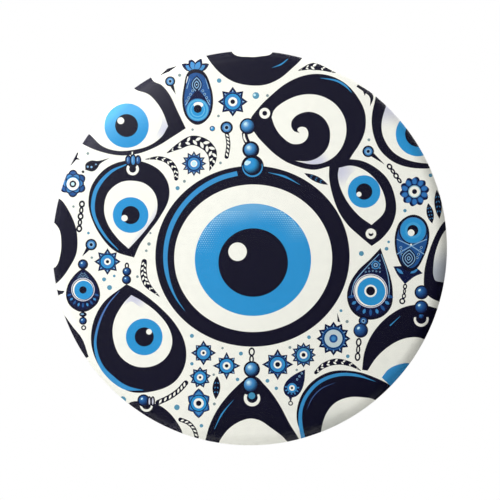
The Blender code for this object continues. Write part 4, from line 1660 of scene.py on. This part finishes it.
def film_material():
    """Clear satin film: light passes it, and a little of it glances off, more at its edges."""
    made, nodes, links, output = new_material("clear_film_satin")
    clear = nodes.new("ShaderNodeBsdfTransparent")
    gloss = nodes.new("ShaderNodeBsdfGlossy")
    mix = nodes.new("ShaderNodeMixShader")
    facing = nodes.new("ShaderNodeFresnel")
    facing.inputs["IOR"].default_value = FILM_IOR
    where = object_place(nodes)
    peel = noise(nodes, links, where, ORANGE_PEEL_SCALE, 2.0)
    scuffs = noise(nodes, links, where, SCUFF_SCALE, 5.0, SCUFF_STRETCH)
    links.new(ranged(nodes, links, scuffs, 0.24, 0.36, 0.35, 0.7), gloss.inputs["Roughness"])
    links.new(bump(nodes, links, peel, 0.05, 0.00005), gloss.inputs["Normal"])
    links.new(ranged(nodes, links, facing.outputs["Fac"], FILM_SHINE, FILM_EDGE_SHINE), mix.inputs["Fac"])
    links.new(clear.outputs["BSDF"], mix.inputs[1])
    links.new(gloss.outputs["BSDF"], mix.inputs[2])
    links.new(mix.outputs["Shader"], output.inputs["Surface"])
    return made


def metal_material(name, colour, dull, rough, lines, line_scale, wear):
    """Bare or plated metal with fine working lines, smudges and scuffed patches."""
    made, nodes, links, output = new_material(name)
    shader = nodes.new("ShaderNodeBsdfPrincipled")
    shader.inputs["Metallic"].default_value = 1.0
    where = object_place(nodes)
    smudge = noise(nodes, links, where, SMUDGE_SCALE, 5.0)
    strokes = noise(nodes, links, where, line_scale, 4.0, lines)
    links.new(ramp(nodes, links, smudge, (0.35, dull), (0.62, colour)), shader.inputs["Base Color"])
    both = nodes.new("ShaderNodeMath")
    both.operation = "ADD"
    links.new(ranged(nodes, links, strokes, rough, rough + wear, 0.3, 0.75), both.inputs[0])
    links.new(ranged(nodes, links, smudge, -0.5 * wear, 0.5 * wear, 0.3, 0.7), both.inputs[1])
    links.new(both.outputs["Value"], shader.inputs["Roughness"])
    links.new(bump(nodes, links, strokes, 0.18, 0.00003), shader.inputs["Normal"])
    links.new(shader.outputs["BSDF"], output.inputs["Surface"])
    return made


def floor_material():
    made, nodes, links, output = new_material("pale_floor")
    shader = nodes.new("ShaderNodeBsdfPrincipled")
    shader.inputs["Roughness"].default_value = 0.8
    tone = noise(nodes, links, object_place(nodes), FLOOR_SCALE)
    colour = ramp(nodes, links, tone, (0.0, FLOOR_SHADE), (1.0, FLOOR_PALE))
    links.new(colour, shader.inputs["Base Color"])
    links.new(shader.outputs["BSDF"], output.inputs["Surface"])
    return made


# Camera, light and floor.

CAMERA_LENS = 100.0
CAMERA_SENSOR = 36.0
CAMERA_CLIP = 0.01
VIEW_RIGHT = 0.035
VIEW_DOWN = 0.28

FLOOR_RADIUS = 230.0
FLOOR_LEVEL = -260.0
FLOOR_T = 2.0
FLOOR_STEPS = 96

# Light. Places and sizes of the lamps are in metres, and their power is in watts.
SKY_DIM = 0.03
SKY_BRIGHT = 1.1
SKY_REACH = 0.7
SKY_TOWARD = (-0.72, -0.05, 0.69)
KEY_AT = (-0.56, -0.52, 0.66)
KEY_SIZE = 1.0
KEY_POWER = 8.1
REAR_AT = (0.35, 0.7, 0.5)
REAR_SIZE = 0.7
REAR_POWER = 4.0


def make_camera():
    data = bpy.data.cameras.new("camera")
    data.lens = CAMERA_LENS
    data.sensor_width = CAMERA_SENSOR
    data.clip_start = CAMERA_CLIP
    camera = bpy.data.objects.new("camera", data)
    bpy.context.scene.collection.objects.link(camera)
    camera.location = (VIEW_RIGHT * MM, -VIEW_FROM * MM, -VIEW_DOWN * MM)
    camera.rotation_euler = (QUARTER, 0.0, 0.0)
    bpy.context.scene.camera = camera


def make_sky():
    """A white backdrop, and a soft surround that is bright at the upper left front and dim opposite."""
    world = bpy.data.worlds.new("soft_surround")
    bpy.context.scene.world = world
    world.use_nodes = True
    nodes, links = world.node_tree.nodes, world.node_tree.links
    nodes.clear()
    output = nodes.new("ShaderNodeOutputWorld")
    way = nodes.new("ShaderNodeTexCoord").outputs["Generated"]
    tilt = nodes.new("ShaderNodeVectorMath")
    tilt.operation = "DOT_PRODUCT"
    tilt.inputs[1].default_value = Vector(SKY_TOWARD).normalized()
    links.new(way, tilt.inputs[0])
    level = ranged(nodes, links, tilt.outputs["Value"], SKY_DIM, SKY_BRIGHT, -SKY_REACH, SKY_REACH)
    soft = nodes.new("ShaderNodeBackground")
    links.new(level, soft.inputs["Strength"])
    white = nodes.new("ShaderNodeBackground")
    for backdrop in (soft, white):
        backdrop.inputs["Color"].default_value = (*FULL_WHITE, 1.0)
    seen = nodes.new("ShaderNodeLightPath").outputs["Is Camera Ray"]
    mix = nodes.new("ShaderNodeMixShader")
    links.new(seen, mix.inputs["Fac"])
    links.new(soft.outputs["Background"], mix.inputs[1])
    links.new(white.outputs["Background"], mix.inputs[2])
    links.new(mix.outputs["Shader"], output.inputs["Surface"])


def make_area(name, place_at, size, energy):
    """A soft round light that faces the badge."""
    data = bpy.data.lights.new(name, "AREA")
    data.shape = "DISK"
    data.size = size
    data.energy = energy
    lamp = bpy.data.objects.new(name, data)
    bpy.context.scene.collection.objects.link(lamp)
    lamp.location = place_at
    lamp.rotation_euler = (-Vector(place_at)).to_track_quat("-Z", "Y").to_euler()


def make_floor(finish):
    """A round pale floor, wide enough to catch the light but below the front view."""
    outline = [(0.0, 0.0), (FLOOR_RADIUS, 0.0), (FLOOR_RADIUS, -FLOOR_T), (0.0, -FLOOR_T)]
    made = turned("floor", outline, FLOOR_STEPS)
    place(made, 0.0, 0.0, FLOOR_LEVEL)
    finished(made)
    made.data.materials.append(finish)


def make_piece(made, node, body, finish):
    """Puts a piece on its body in place of its CAD node, with its finish."""
    made.data.materials.clear()
    made.data.materials.append(finish)
    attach(made, body)
    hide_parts(node)


def metals():
    """The finishes of the pressed tinplate, of the plated fittings and of the pin's wire."""
    tinplate = metal_material(
        "tinplate", (0.74, 0.74, 0.73), (0.62, 0.62, 0.62),
        rough=0.24, lines=(30.0, 1.0, 1.0), line_scale=90.0, wear=0.12,
    )
    nickel = metal_material(
        "nickel_plate", (0.80, 0.78, 0.74), (0.66, 0.64, 0.60),
        rough=0.16, lines=(1.0, 4.0, 4.0), line_scale=900.0, wear=0.1,
    )
    wire = metal_material(
        "pin_wire", (0.76, 0.76, 0.75), (0.60, 0.60, 0.60),
        rough=0.18, lines=(1.0, 30.0, 30.0), line_scale=200.0, wear=0.12,
    )
    return tinplate, nickel, wire


def make_badge(tinplate, nickel, wire):
    """The ten pieces, from the front to the back."""
    film = make_layer("clear_film_skin", 0.0, FILM_T)
    shell = make_layer("front_shell_steel", SHELL_DEPTH, SHELL_DEPTH + SHELL_T)
    make_piece(film, "clear_film", "badge", film_material())
    make_piece(make_paper(), "printed_paper", "badge", print_material())
    make_piece(shell, "front_shell", "badge", tinplate)
    make_piece(make_back_plate(), "back_plate", "badge", tinplate)
    make_piece(make_pin_base(), "pin_base", "badge", nickel)
    for side, x in (("left", -RIVET_X), ("right", RIVET_X)):
        rivet = make_rivet(f"rivet_{side}_turned", x)
        make_piece(rivet, f"rivet_{side}", "badge", nickel)
    make_piece(make_hinge_rivet(), "hinge_rivet", "badge", nickel)
    make_piece(make_pin_stem(), "pin_stem", "pin", wire)
    make_piece(make_catch_roller(), "catch_roller", "catch", nickel)


def main():
    bpy.context.scene.view_settings.view_transform = "Standard"
    make_camera()
    make_sky()
    make_area("key_light", KEY_AT, KEY_SIZE, KEY_POWER)
    make_area("rear_light", REAR_AT, REAR_SIZE, REAR_POWER)
    make_floor(floor_material())
    make_badge(*metals())


main()
